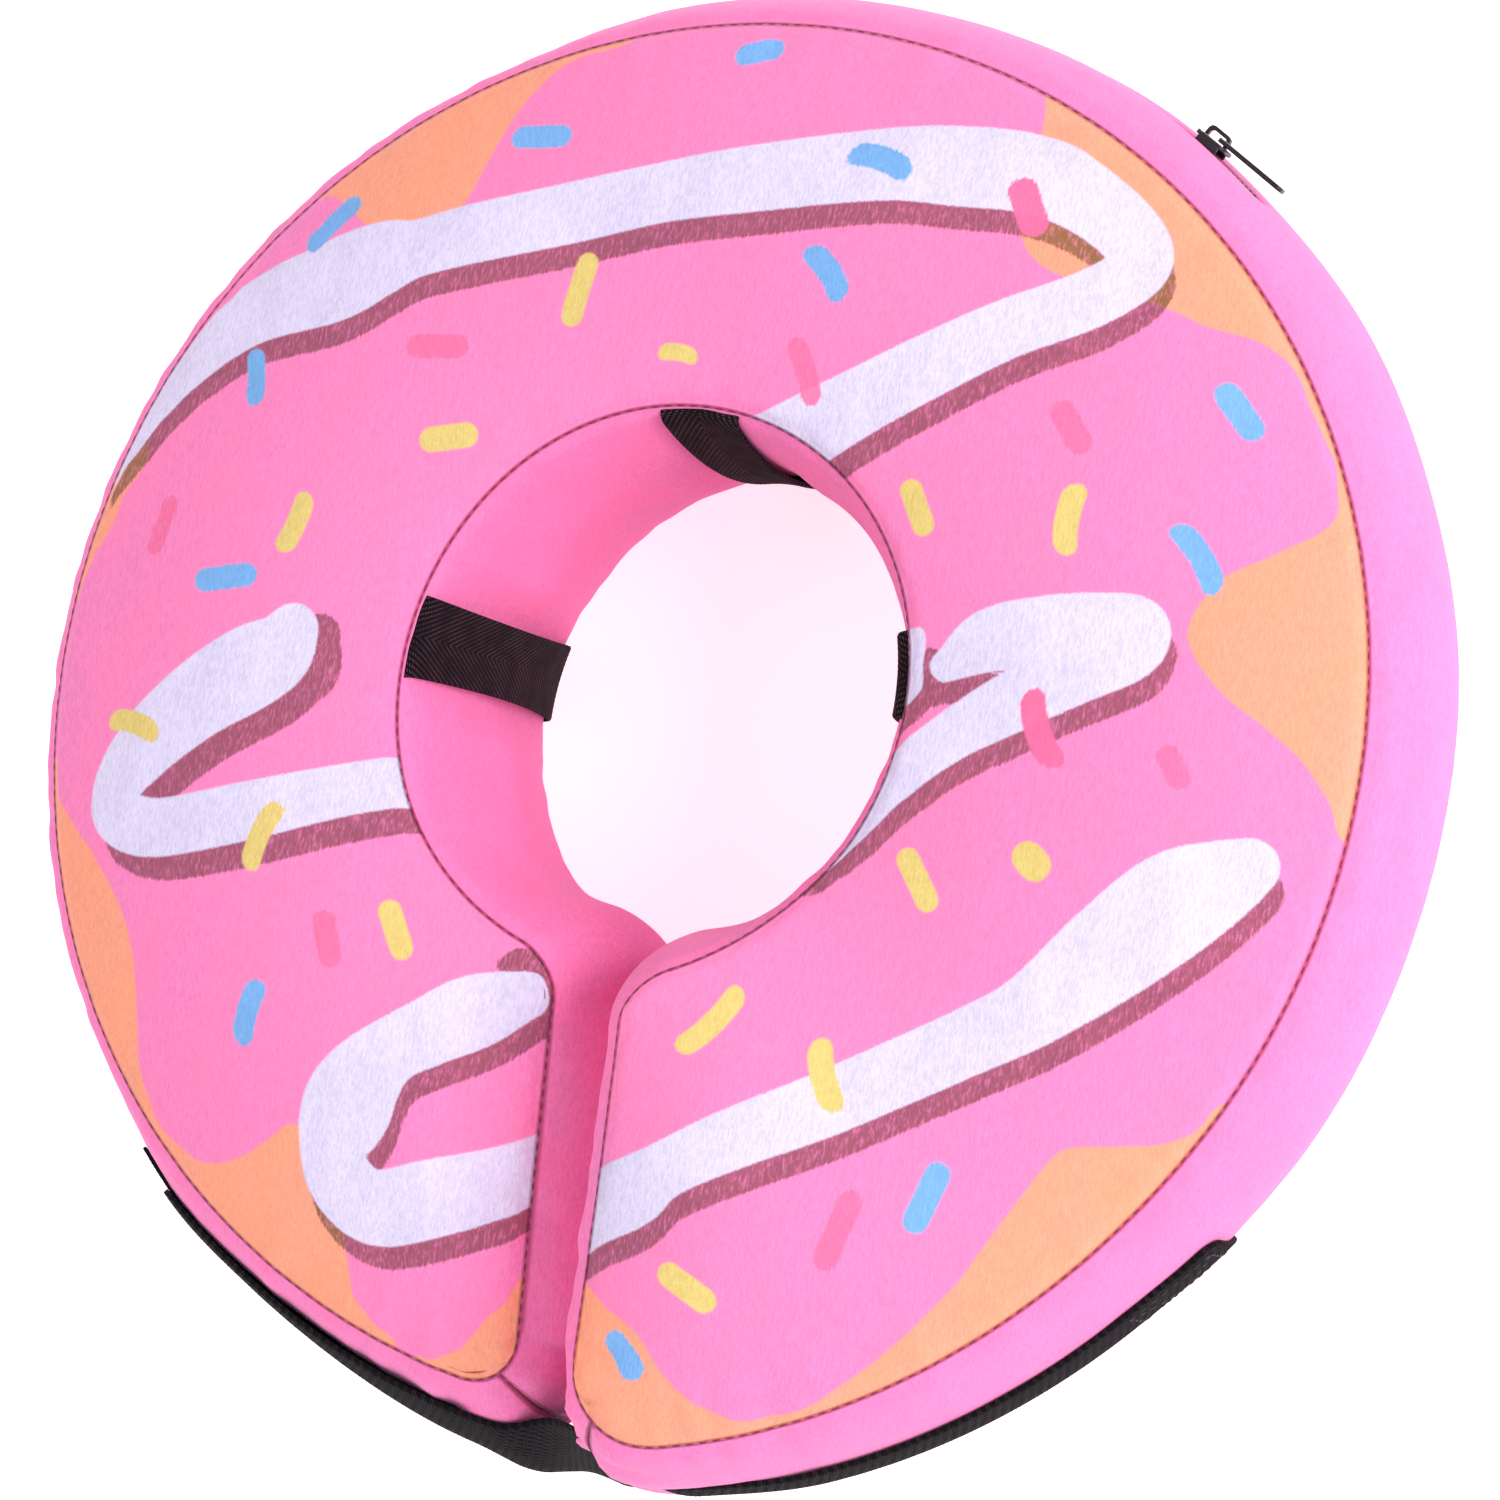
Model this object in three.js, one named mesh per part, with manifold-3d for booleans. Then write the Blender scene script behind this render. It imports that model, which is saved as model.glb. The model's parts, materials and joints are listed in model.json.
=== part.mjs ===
// An inflatable recovery collar: a doughnut-shaped plush cover, round a pet's neck, with its two ends
// closed against each other by a hook-and-loop strap. It lies on its back, printed face up.
// Millimetres, +Z up. The slit between the ends points to -Y. Angles are in degrees from the slit,
// positive towards +X.
import * as THREE from "three";
import Module from "manifold-3d";

// The two sewn rings of the cover, seen from above.
const outerSeamRadius = 165;
const outerSeamOval = 3.5; // the soft ring is a little longer than wide
const outerOvalAngle = 149;
const neckSeamRadius = 63.5;
const neckSeamOval = 2.7;
const neckOvalAngle = 162;
const neckCentreX = -5.3; // the neck hole sits a little off the ring's centre
const neckCentreY = 3.6;

// Section through the ring: half heights at the seams and how far each cloth swells past them.
const outerSeamHalfHeight = 33.5;
const neckSeamHalfHeight = 49;
const outerBulge = 11;
const neckBulge = 8.5;
const faceCrown = 10;
const faceCrownRun = 35; // from a slit end to the full crown
const restFlat = 2; // the back crown is pressed flat by this much where it rests

// The two ends at the slit.
const slitHalfWidth = 12.5; // from the slit's middle to the sewn edge of each end
const slitLeftOuterHalf = 9.5; // the left end's edge slants to this at the outer seam
const endBulge = 14;
const endSwellRun = 34; // along the neck wall, from an end's swelling to the wall's own
const endsApart = 0.7; // the swollen ends all but touch
const nearEnd = 0.1; // share of the way round in which the other end can be touched
const outerCornerRadius = 14;
const neckCornerRadius = 10;
const endRun = 60; // degrees over which an end drifts from the true ring
const rightEndFrontLift = 17;
const rightEndBackLift = 8;
const rightEndSpread = 8.4;
const leftEndFrontDrop = 7.8;

// Cloth and clearances.
const plushWall = 2;
const seamGap = 0.4;
const cutOverrun = 2; // how far a cutting body reaches past the cloth

// Webbing loops on the neck wall, which a pet's own collar threads through.
const loopAngles = { collar_loop_left: -93, collar_loop_back: 180, collar_loop_right: 101.5 };
const loopWidth = 19;
const loopThickness = 1.2;
const loopClearance = 0.4;
const loopSlack = 0.8; // how far the middle of a loop stands off the wall's own line
const loopDent = 6; // and how far it presses the wall back
const loopDentFlat = 12; // half the width of the dent's floor
const loopDentReach = 28; // and of the whole dent
const loopSewnIn = 0.985; // share of the wall's height between its seams that a loop spans

// Hook-and-loop closure round the outer band.
const strapWidth = 30;
const strapThickness = 1.5;
const strapDent = 1.5; // how far the strap presses the outer band in
const strapDentRun = 10; // degrees over which the dent fades at either end
const strapRightAngle = 55;
const strapLeftAngle = -42;
const strapRise = { right: -6, left: 8.5 }; // height of its middle over the band's middle
const strapCornerRadius = 5;
const strapClearance = 0.6;
const patchWidth = 34;
const patchThickness = 1.2;
const patchLeftAngle = -48;
const patchRightAngle = -11;
const patchRise = 0;

// Zip in the outer band.
const zipLeftAngle = 218;
const zipRightAngle = 143;
const zipRise = 3;
const zipSlotWidth = 8;
const zipTapeWidth = 20;
const zipTapeThickness = 0.8;
const zipTapeGap = 1.2;
const zipCoilWidth = 4.4;
const zipCoilThickness = 1.7;
const zipCoilInset = 1; // degrees that it stops short of the slot's ends
const sliderAngle = 149;
const sliderLength = 9;
const sliderWidth = 8.6;
const sliderCorner = 2;
const sliderPlate = 1.2;
const sliderFlange = 0.8;
const sliderFlangeLength = 6.3;
const sliderClearance = 0.35;
const bridgeLength = 6.8;
const bridgeWidth = 1.6;
const bridgeBar = 1;
const pullPin = 1.2; // diameter of the round bar inside the bridge
const pullPinOffset = 1.4; // ahead of the bridge's middle
const pullArmWidth = 1.1;
const pullThickness = 1.2;
const pullWidth = 5;
const pullLength = 19.5;
const pullEye = 6.6; // clear length from the pin, so that the pull swings over the bridge
const pullSlotWidth = 2;
const pullSlotLength = 7;
const pullSlotMargin = 2.2; // from the slot to the pull's tip
const pullCorner = 1.6;
const armOverlap = 1; // how far the arms run into the blade

// How finely the cloth is faceted.
const cornerSteps = 4;
const ringSteps = 48;
const faceSteps = 8;
const bandSteps = 6;
const endSteps = 7;
const strapCornerSteps = 3;
const strapColumns = 5;
const stripColumns = 4;
const loopColumns = 4;
const loopRows = 12;
const roundSteps = 4;
const pinFacets = 12;

const plushPink = 0xf98fcf;
const blackWebbing = 0x241820;

const radians = THREE.MathUtils.degToRad;
const degrees = THREE.MathUtils.radToDeg;
const lerp = THREE.MathUtils.lerp;
const clamp = THREE.MathUtils.clamp;
const smooth = (share) => THREE.MathUtils.smoothstep(share, 0, 1);

const wasm = await Module();
wasm.setup();

// Plan of the ring

const toward = (angle) => new THREE.Vector2(Math.sin(radians(angle)), -Math.cos(radians(angle)));
const signed = (angle) => (angle > 180 ? angle - 360 : angle);
const fullTurn = (angle) => ((angle % 360) + 360) % 360;

const slitRightAngle = degrees(Math.asin((neckCentreX + slitHalfWidth) / outerSeamRadius));
const slitLeftAngle = degrees(Math.asin((neckCentreX - slitLeftOuterHalf) / outerSeamRadius));

// How much of each end's drift reaches an angle. Across the slit the two blend into each other.
function endDrift(angle) {
  const a = signed(angle);
  const across = smooth((a - slitLeftAngle) / (slitRightAngle - slitLeftAngle));
  return {
    right: across * smooth(1 - Math.max(a, 0) / endRun),
    left: (1 - across) * smooth(1 - Math.max(-a, 0) / endRun),
  };
}

function outerRadius(angle) {
  const oval = outerSeamOval * Math.cos(radians(2 * (angle - outerOvalAngle)));
  return outerSeamRadius + oval + rightEndSpread * endDrift(angle).right;
}

function neckRadius(angle) {
  const oval = neckSeamOval * Math.cos(radians(2 * (angle - neckOvalAngle)));
  return neckSeamRadius + oval + (rightEndSpread / 2) * endDrift(angle).right;
}

// The angles where a body drawn in by inset starts and stops, at the outer seam and at the neck seam.
function reach(inset) {
  const half = slitHalfWidth + inset;
  const outerStart = degrees(Math.asin((neckCentreX + half) / (outerRadius(0) - inset)));
  const outerLeftX = neckCentreX - slitLeftOuterHalf - inset;
  const outerStop = 360 + degrees(Math.asin(outerLeftX / (outerRadius(360 + slitLeftAngle) - inset)));
  const neckStart = degrees(Math.asin(half / (neckRadius(0) + inset)));
  const neckStop = 360 - degrees(Math.asin(half / (neckRadius(360 + slitLeftAngle) + inset)));
  return { outerStart, outerStop, neckStart, neckStop };
}

// A straight line across the ring at a share of the way round it, and the distances along both seams
// from its nearer end.
function crossing(share, inset) {
  const { outerStart, outerStop, neckStart, neckStop } = reach(inset);
  const outerAngle = lerp(outerStart, outerStop, share);
  const neckAngle = lerp(neckStart, neckStop, share);
  const outer = toward(outerAngle).multiplyScalar(outerRadius(outerAngle) - inset);
  const neck = toward(neckAngle).multiplyScalar(neckRadius(neckAngle) + inset);
  neck.add(new THREE.Vector2(neckCentreX, neckCentreY));
  const nearer = Math.min(share, 1 - share);
  return {
    outer,
    neck,
    outerAngle,
    fromEndOuter: radians(outerStop - outerStart) * nearer * outerSeamRadius,
    fromEndNeck: radians(neckStop - neckStart) * nearer * neckSeamRadius,
  };
}

// How far a rounded corner holds the edge back, at a distance from the end.
function cornerInset(radius, fromEnd) {
  const left = Math.max(radius - fromEnd, 0);
  return radius - Math.sqrt(Math.max(radius * radius - left * left, 0));
}

// The sewn edge at the neck (side 0) or outside (side 1), as a share of the crossing line.
function edgeShare(share, side, inset) {
  const line = crossing(share, inset);
  const length = line.outer.distanceTo(line.neck);
  if (side === 0) return cornerInset(neckCornerRadius - inset, line.fromEndNeck) / length;
  return 1 - cornerInset(outerCornerRadius - inset, line.fromEndOuter) / length;
}

function planPoint(share, across, inset) {
  const line = crossing(share, inset);
  return line.neck.clone().lerp(line.outer, across);
}

// Heights of the ring

const crownPeak = 0.5 - (neckSeamHalfHeight - outerSeamHalfHeight) / (8 * faceCrown);
const crownDepth =
  lerp(neckSeamHalfHeight, outerSeamHalfHeight, crownPeak) + 4 * faceCrown * crownPeak * (1 - crownPeak);
const middleHeight = crownDepth - restFlat;

function seamHeight(share, across, front, inset) {
  const half = lerp(neckSeamHalfHeight, outerSeamHalfHeight, across) - inset;
  const drift = endDrift(crossing(share, inset).outerAngle);
  if (front) return middleHeight + half + rightEndFrontLift * drift.right - leftEndFrontDrop * drift.left;
  return middleHeight - half + rightEndBackLift * drift.right;
}

// A point of the face or the back: v runs from the neck seam, 0, to the outer seam, 1.
function facePoint(share, v, front, inset) {
  const across = lerp(edgeShare(share, 0, inset), edgeShare(share, 1, inset), v);
  const line = crossing(share, inset);
  const fromEnd = lerp(line.fromEndNeck, line.fromEndOuter, across);
  const crown = faceCrown * 4 * v * (1 - v) * Math.sin((Math.PI / 2) * Math.min(fromEnd / faceCrownRun, 1));
  const p = planPoint(share, across, inset);
  const z = seamHeight(share, across, front, inset) + (front ? crown : -crown);
  return new THREE.Vector3(p.x, p.y, front ? z : Math.max(z, inset));
}

// Walls of the ring

// How deep the loops press the neck wall at an angle from the slit.
function loopPress(neckAngle) {
  return Object.values(loopAngles).reduce((most, angle) => {
    const away = Math.abs(signed(fullTurn(neckAngle - angle)));
    const distance = radians(away) * neckSeamRadius;
    return Math.max(most, loopDent * smooth((loopDentReach - distance) / (loopDentReach - loopDentFlat)));
  }, 0);
}

// How far the outer band swells past its seams, less where the strap holds it in.
function bandBulge(angle) {
  const a = signed(angle);
  const inside = Math.min(strapRightAngle - a, a - strapLeftAngle) / strapDentRun;
  return outerBulge - strapDent * smooth(inside);
}

// A stop on the edge of the ring: share is the way round, across the way from neck to outside.
function wallBulge(stop, inset, pressed) {
  const line = crossing(stop.share, inset);
  if (stop.side === "end") return endBulge;
  if (stop.side === "outer")
    return lerp(endBulge, bandBulge(line.outerAngle), smooth(line.fromEndOuter / outerCornerRadius));
  const { neckStart, neckStop } = reach(inset);
  const press = pressed ? loopPress(lerp(neckStart, neckStop, stop.share)) : 0;
  return lerp(endBulge, neckBulge - press, smooth(line.fromEndNeck / endSwellRun));
}

// The outward direction of the edge at a stop, from its neighbours on either side. Seen from above the
// air lies to the right of the outer band's run (hand 1) and to the left of the inner band's (hand -1).
function outward(before, after, hand) {
  const along = after.clone().sub(before).normalize();
  return new THREE.Vector2(along.y, -along.x).multiplyScalar(hand);
}

// A point of the side wall: w runs from the back seam, -1, to the front seam, 1.
function wallPoint(stop, normal, w, inset, pressed = true) {
  const across = stop.across(inset);
  const p = planPoint(stop.share, across, inset);
  const back = seamHeight(stop.share, across, false, inset);
  const front = seamHeight(stop.share, across, true, inset);
  p.addScaledVector(normal, wallBulge(stop, inset, pressed) * (1 - w * w));
  const nearSlit = endsApart / 2 + inset;
  if (stop.share < nearEnd) p.x = Math.max(p.x, neckCentreX + nearSlit);
  if (stop.share > 1 - nearEnd) p.x = Math.min(p.x, neckCentreX - nearSlit);
  return new THREE.Vector3(p.x, p.y, Math.max(lerp(back, front, (w + 1) / 2), inset));
}

const outerStop = (share) => ({ share, side: "outer", across: (inset) => edgeShare(share, 1, inset) });
const neckStop = (share) => ({ share, side: "neck", across: (inset) => edgeShare(share, 0, inset) });
const endStop = (share, v) => ({
  share,
  side: "end",
  across: (inset) => lerp(edgeShare(share, 0, inset), edgeShare(share, 1, inset), v),
});

// Shares of the way round: close together at the rounded corners, even elsewhere.
function ringShares() {
  const { outerStart, outerStop: stop, neckStart, neckStop: neckEnd } = reach(0);
  const outerLength = radians(stop - outerStart) * outerSeamRadius;
  const neckLength = radians(neckEnd - neckStart) * neckSeamRadius;
  const start = [];
  for (let k = 0; k <= cornerSteps; k++)
    start.push((outerCornerRadius * (1 - Math.cos((Math.PI / 2) * (k / cornerSteps)))) / outerLength);
  const cornerShare = start[cornerSteps];
  const pastCorner = cornerShare + outerCornerRadius / 2 / outerLength;
  const neckShare = Math.max(neckCornerRadius / neckLength, pastCorner);
  start.push((cornerShare + neckShare) / 2, neckShare);
  const shares = [...start];
  for (let k = 1; k < ringSteps; k++) shares.push(lerp(neckShare, 1 - neckShare, k / ringSteps));
  return [...shares, ...start.reverse().map((share) => 1 - share)];
}

const shares = ringShares();
const cornerSeam = cornerSteps / 2; // the ends are sewn to the outer band halfway round each corner
const evenly = (from, to, steps) => Array.from({ length: steps + 1 }, (_, k) => lerp(from, to, k / steps));

// Solids from grids of points

// A closed solid between two like grids: its two skins and the four strips that join their edges.
function sheetSolid(top, bottom) {
  const rows = top.length;
  const columns = top[0].length;
  const positions = [...top, ...bottom].flatMap((row) => row.flatMap((p) => [p.x, p.y, p.z]));
  const at = (layer, r, c) => layer * rows * columns + r * columns + c;
  const index = [];
  const quad = (a, b, c, d) => index.push(a, b, c, a, c, d);
  for (let r = 0; r < rows - 1; r++)
    for (let c = 0; c < columns - 1; c++) {
      quad(at(0, r, c), at(0, r + 1, c), at(0, r + 1, c + 1), at(0, r, c + 1));
      quad(at(1, r, c), at(1, r, c + 1), at(1, r + 1, c + 1), at(1, r + 1, c));
    }
  for (let r = 0; r < rows - 1; r++) {
    quad(at(0, r, 0), at(1, r, 0), at(1, r + 1, 0), at(0, r + 1, 0));
    quad(at(0, r, columns - 1), at(0, r + 1, columns - 1), at(1, r + 1, columns - 1), at(1, r, columns - 1));
  }
  for (let c = 0; c < columns - 1; c++) {
    quad(at(0, 0, c), at(0, 0, c + 1), at(1, 0, c + 1), at(1, 0, c));
    quad(at(0, rows - 1, c), at(1, rows - 1, c), at(1, rows - 1, c + 1), at(0, rows - 1, c + 1));
  }
  const geometry = new THREE.BufferGeometry();
  geometry.setAttribute("position", new THREE.Float32BufferAttribute(positions, 3));
  geometry.setIndex(signedVolume(positions, index) < 0 ? turnedRound(index) : index);
  geometry.computeVertexNormals();
  return geometry;
}

function signedVolume(positions, index) {
  const corner = (i) => new THREE.Vector3().fromArray(positions, 3 * index[i]);
  let sum = 0;
  for (let i = 0; i < index.length; i += 3) sum += corner(i).dot(corner(i + 1).cross(corner(i + 2)));
  return sum / 6;
}

function turnedRound(index) {
  const turned = [];
  for (let i = 0; i < index.length; i += 3) turned.push(index[i], index[i + 2], index[i + 1]);
  return turned;
}

function toSolid(geometry) {
  const merged = mergedCopy(geometry);
  return new wasm.Manifold(
    new wasm.Mesh({
      numProp: 3,
      vertProperties: merged.attributes.position.array,
      triVerts: new Uint32Array(merged.index.array),
    }),
  );
}

function mergedCopy(geometry) {
  const source = geometry.index ? geometry.toNonIndexed() : geometry;
  const points = source.attributes.position;
  const seen = new Map();
  const positions = [];
  const index = [];
  for (let i = 0; i < points.count; i++) {
    const p = [points.getX(i), points.getY(i), points.getZ(i)];
    const key = p.map((value) => Math.round(value * 1e4)).join(",");
    if (!seen.has(key)) {
      seen.set(key, positions.length / 3);
      positions.push(...p);
    }
    index.push(seen.get(key));
  }
  const merged = new THREE.BufferGeometry();
  merged.setAttribute("position", new THREE.Float32BufferAttribute(positions, 3));
  merged.setIndex(index);
  return merged;
}

function fromSolid(solid) {
  const mesh = solid.getMesh();
  const positions = [];
  for (let i = 0; i < mesh.numVert; i++) {
    const start = i * mesh.numProp;
    positions.push(...mesh.vertProperties.subarray(start, start + 3));
  }
  const geometry = new THREE.BufferGeometry();
  geometry.setAttribute("position", new THREE.Float32BufferAttribute(positions, 3));
  geometry.setIndex([...mesh.triVerts]);
  geometry.computeVertexNormals();
  return geometry;
}

const joined = (...geometries) => fromSolid(geometries.map(toSolid).reduce((a, b) => a.add(b)));
const cut = (body, tool) => fromSolid(toSolid(body).subtract(toSolid(tool)));

// Cloth pieces of the cover

function facePanel(front) {
  const skin = (inset) =>
    shares.map((share) => {
      const line = crossing(share, inset);
      const margin = seamGap / 2 / line.outer.distanceTo(line.neck);
      return evenly(margin, 1 - margin, faceSteps).map((v) => facePoint(share, v, front, inset));
    });
  return drawnBack(skin(0), skin(plushWall), seamGap);
}

// A strip of side wall along a run of stops.
function wallStrip(stops, hand) {
  const skin = (inset) => {
    const plan = stops.map((stop) => planPoint(stop.share, stop.across(inset), inset));
    return stops.map((stop, k) => {
      const normal = outward(plan[Math.max(k - 1, 0)], plan[Math.min(k + 1, plan.length - 1)], hand);
      const across = stop.across(inset);
      const top = seamHeight(stop.share, across, true, inset);
      const margin = seamGap / (top - seamHeight(stop.share, across, false, inset));
      return evenly(-1 + margin, 1 - margin, bandSteps).map((w) => wallPoint(stop, normal, w, inset));
    });
  };
  return drawnBack(skin(0), skin(plushWall), seamGap / 2);
}

// A sheet whose first and last rows are drawn back by a distance from the seams there.
function drawnBack(top, bottom, distance) {
  const pulled = (p, next) => p.clone().lerp(next, Math.min(distance / p.distanceTo(next), 0.5));
  const shortened = (grid) => {
    const last = grid.length - 1;
    const from = (row, next) => grid[row].map((p, c) => pulled(p, grid[next][c]));
    return [from(0, 1), ...grid.slice(1, last), from(last, last - 1)];
  };
  return sheetSolid(shortened(top), shortened(bottom));
}

// The outer band is open along the zip.
function outerBand() {
  const stops = shares.slice(cornerSeam, shares.length - cornerSeam).map(outerStop);
  const slotDepth = plushWall + cutOverrun;
  const slot = bandStrip(zipRightAngle, zipLeftAngle, zipRise, zipSlotWidth, -cutOverrun, slotDepth);
  return cut(wallStrip(stops, 1), slot);
}

// One strip of cloth makes the right end, the neck wall and the left end.
function innerBand() {
  const last = shares.length - 1;
  const endV = evenly(0, 1, endSteps).slice(1, -1);
  const stops = [
    ...shares.slice(0, cornerSeam + 1).reverse().map(outerStop),
    ...[...endV].reverse().map((v) => endStop(0, v)),
    ...shares.map(neckStop),
    ...endV.map((v) => endStop(1, v)),
    ...shares.slice(last - cornerSeam).reverse().map(outerStop),
  ];
  return wallStrip(stops, -1);
}

// Strips that follow a wall

const angleStep = 3.2;
const stepsAlong = (from, to) => Math.max(2, Math.ceil(Math.abs(to - from) / angleStep));

// A point over the outer band: rise is its height over the band's middle, out its distance from the cloth.
function overBand(angle, rise, out) {
  const drift = endDrift(angle);
  const front = outerSeamHalfHeight + rightEndFrontLift * drift.right - leftEndFrontDrop * drift.left;
  const back = -outerSeamHalfHeight + rightEndBackLift * drift.right;
  const share = rise / ((front - back) / 2);
  const radius = outerRadius(angle) + bandBulge(angle) * (1 - share * share) + out;
  const p = toward(angle).multiplyScalar(radius);
  return new THREE.Vector3(p.x, p.y, middleHeight + (front + back) / 2 + rise);
}

// A strip on the outer band between two depths, which are measured inward from the cloth's face.
function bandStrip(from, to, rise, width, topInset, bottomInset) {
  const skin = (inset) =>
    evenly(from, to, stepsAlong(from, to)).map((angle) =>
      evenly(-width / 2, width / 2, stripColumns).map((height) => overBand(angle, rise + height, -inset)),
    );
  return sheetSolid(skin(topInset), skin(bottomInset));
}

// Half the width of a strap with rounded corners, at a distance from its cut end.
const roundedHalf = (half, radius, fromEnd) => half - cornerInset(radius, fromEnd);

// The strap is sewn to the right end, crosses the slit and grips the patch on the left end.
function closureStrap() {
  const overPatch = patchThickness + strapClearance;
  const length = radians(strapRightAngle - strapLeftAngle) * outerSeamRadius;
  const roundedEnd = evenly(0, Math.PI / 2, strapCornerSteps).map(
    (turn) => (strapCornerRadius * (1 - Math.cos(turn))) / length,
  );
  const straightFrom = roundedEnd[strapCornerSteps];
  const middle = stepsAlong(strapLeftAngle, strapRightAngle);
  const along = [
    ...roundedEnd,
    ...evenly(straightFrom, 1 - straightFrom, middle).slice(1, -1),
    ...roundedEnd.reverse().map((share) => 1 - share),
  ];
  const skin = (depth) =>
    along.map((share) => {
      const angle = lerp(strapLeftAngle, strapRightAngle, share);
      const onPatch = smooth((slitRightAngle - angle) / (slitRightAngle - patchRightAngle));
      const out = strapClearance + overPatch * onPatch + depth;
      const rise = lerp(strapRise.left, strapRise.right, smooth(share));
      const half = roundedHalf(strapWidth / 2, strapCornerRadius, Math.min(share, 1 - share) * length);
      const rises = evenly(rise - half, rise + half, strapColumns);
      return rises.map((height) => overBand(angle, height, out));
    });
  return sheetSolid(skin(strapThickness), skin(0));
}

function loopPatch() {
  const near = -strapClearance;
  return bandStrip(patchLeftAngle, patchRightAngle, patchRise, patchWidth, near - patchThickness, near);
}

// A webbing loop from the front seam to the back seam, over the neck wall.
function collarLoop(angle) {
  const { neckStart, neckStop: neckEnd } = reach(0);
  const shareAt = (a) => (fullTurn(a) - neckStart) / (neckEnd - neckStart);
  const halfAngle = degrees(loopWidth / 2 / (neckSeamRadius - neckBulge));
  const skin = (depth) =>
    evenly(angle - halfAngle, angle + halfAngle, loopColumns).map((a) => {
      const stop = neckStop(shareAt(a));
      const towardHole = toward(a).negate();
      return evenly(-1, 1, loopRows).map((w) => {
        const p = wallPoint(stop, towardHole, w * loopSewnIn, 0, false);
        const out = loopClearance + loopSlack * (1 - w * w) + depth;
        return p.add(new THREE.Vector3(towardHole.x, towardHole.y, 0).multiplyScalar(out));
      });
    });
  return sheetSolid(skin(loopThickness), skin(0));
}

// Zip

const tapeInset = plushWall + zipTapeGap;

function zipTape() {
  const overrun = degrees(zipSlotWidth / outerSeamRadius);
  const from = zipRightAngle - overrun;
  const to = zipLeftAngle + overrun;
  return bandStrip(from, to, zipRise, zipTapeWidth, tapeInset, tapeInset + zipTapeThickness);
}

function zipCoil() {
  const bottom = tapeInset - sliderClearance;
  const from = zipRightAngle + zipCoilInset;
  const to = zipLeftAngle - zipCoilInset;
  return bandStrip(from, to, zipRise, zipCoilWidth, bottom - zipCoilThickness, bottom);
}

// The slider and pull are drawn flat: x along the zip, y across it, z away from the cloth.
const plateTop = sliderClearance + sliderPlate;
const pinHeight = plateTop + sliderClearance + pullPin / 2;
const bridgeUnderside = pinHeight + pullPin / 2 + sliderClearance;
const bridgeTop = bridgeUnderside + bridgeBar;

function extrudedAcross(shape, width) {
  const settings = { depth: width, bevelEnabled: false, curveSegments: roundSteps };
  return new THREE.ExtrudeGeometry(shape, settings).translate(0, 0, -width / 2).rotateX(Math.PI / 2);
}

function extrudedUp(shape, from, to) {
  const settings = { depth: to - from, bevelEnabled: false, curveSegments: roundSteps };
  return new THREE.ExtrudeGeometry(shape, settings).translate(0, 0, from);
}

function roundedRectangle(x0, x1, halfWidth, radius) {
  const shape = new THREE.Shape();
  shape.moveTo(x0 + radius, -halfWidth);
  shape.lineTo(x1 - radius, -halfWidth);
  shape.absarc(x1 - radius, -halfWidth + radius, radius, -Math.PI / 2, 0);
  shape.lineTo(x1, halfWidth - radius);
  shape.absarc(x1 - radius, halfWidth - radius, radius, 0, Math.PI / 2);
  shape.lineTo(x0 + radius, halfWidth);
  shape.absarc(x0 + radius, halfWidth - radius, radius, Math.PI / 2, Math.PI);
  shape.lineTo(x0, -halfWidth + radius);
  shape.absarc(x0 + radius, -halfWidth + radius, radius, Math.PI, 1.5 * Math.PI);
  return shape;
}

const sunk = 0.01; // the bridge's opening starts just inside the plate

function zipSlider() {
  const outline = roundedRectangle(-sliderLength / 2, sliderLength / 2, sliderWidth / 2, sliderCorner);
  const plate = extrudedUp(outline, sliderClearance, plateTop);
  const half = bridgeLength / 2;
  const side = new THREE.Shape();
  side.moveTo(-half, plateTop - sliderPlate / 2);
  side.lineTo(half, plateTop - sliderPlate / 2);
  side.lineTo(half, bridgeTop - bridgeBar);
  side.quadraticCurveTo(half, bridgeTop, half - bridgeBar, bridgeTop);
  side.lineTo(-half + bridgeBar, bridgeTop);
  side.quadraticCurveTo(-half, bridgeTop, -half, bridgeTop - bridgeBar);
  side.closePath();
  const under = new THREE.Path();
  under.moveTo(-half + bridgeBar, plateTop - sunk);
  under.lineTo(-half + bridgeBar, bridgeUnderside);
  under.lineTo(half - bridgeBar, bridgeUnderside);
  under.lineTo(half - bridgeBar, plateTop - sunk);
  under.closePath();
  side.holes.push(under);
  const bridge = extrudedAcross(side, bridgeWidth);
  const flangeMiddle = zipCoilWidth / 2 + sliderClearance + sliderFlange / 2;
  const flangeBottom = -tapeInset + sliderClearance;
  const flangeTop = plateTop - sliderPlate / 4;
  const flangeHeight = flangeTop - flangeBottom;
  const flangeMiddleZ = (flangeTop + flangeBottom) / 2;
  const flange = (y) =>
    new THREE.BoxGeometry(sliderFlangeLength, sliderFlange, flangeHeight).translate(0, y, flangeMiddleZ);
  return joined(plate, bridge, flange(flangeMiddle), flange(-flangeMiddle));
}

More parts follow.
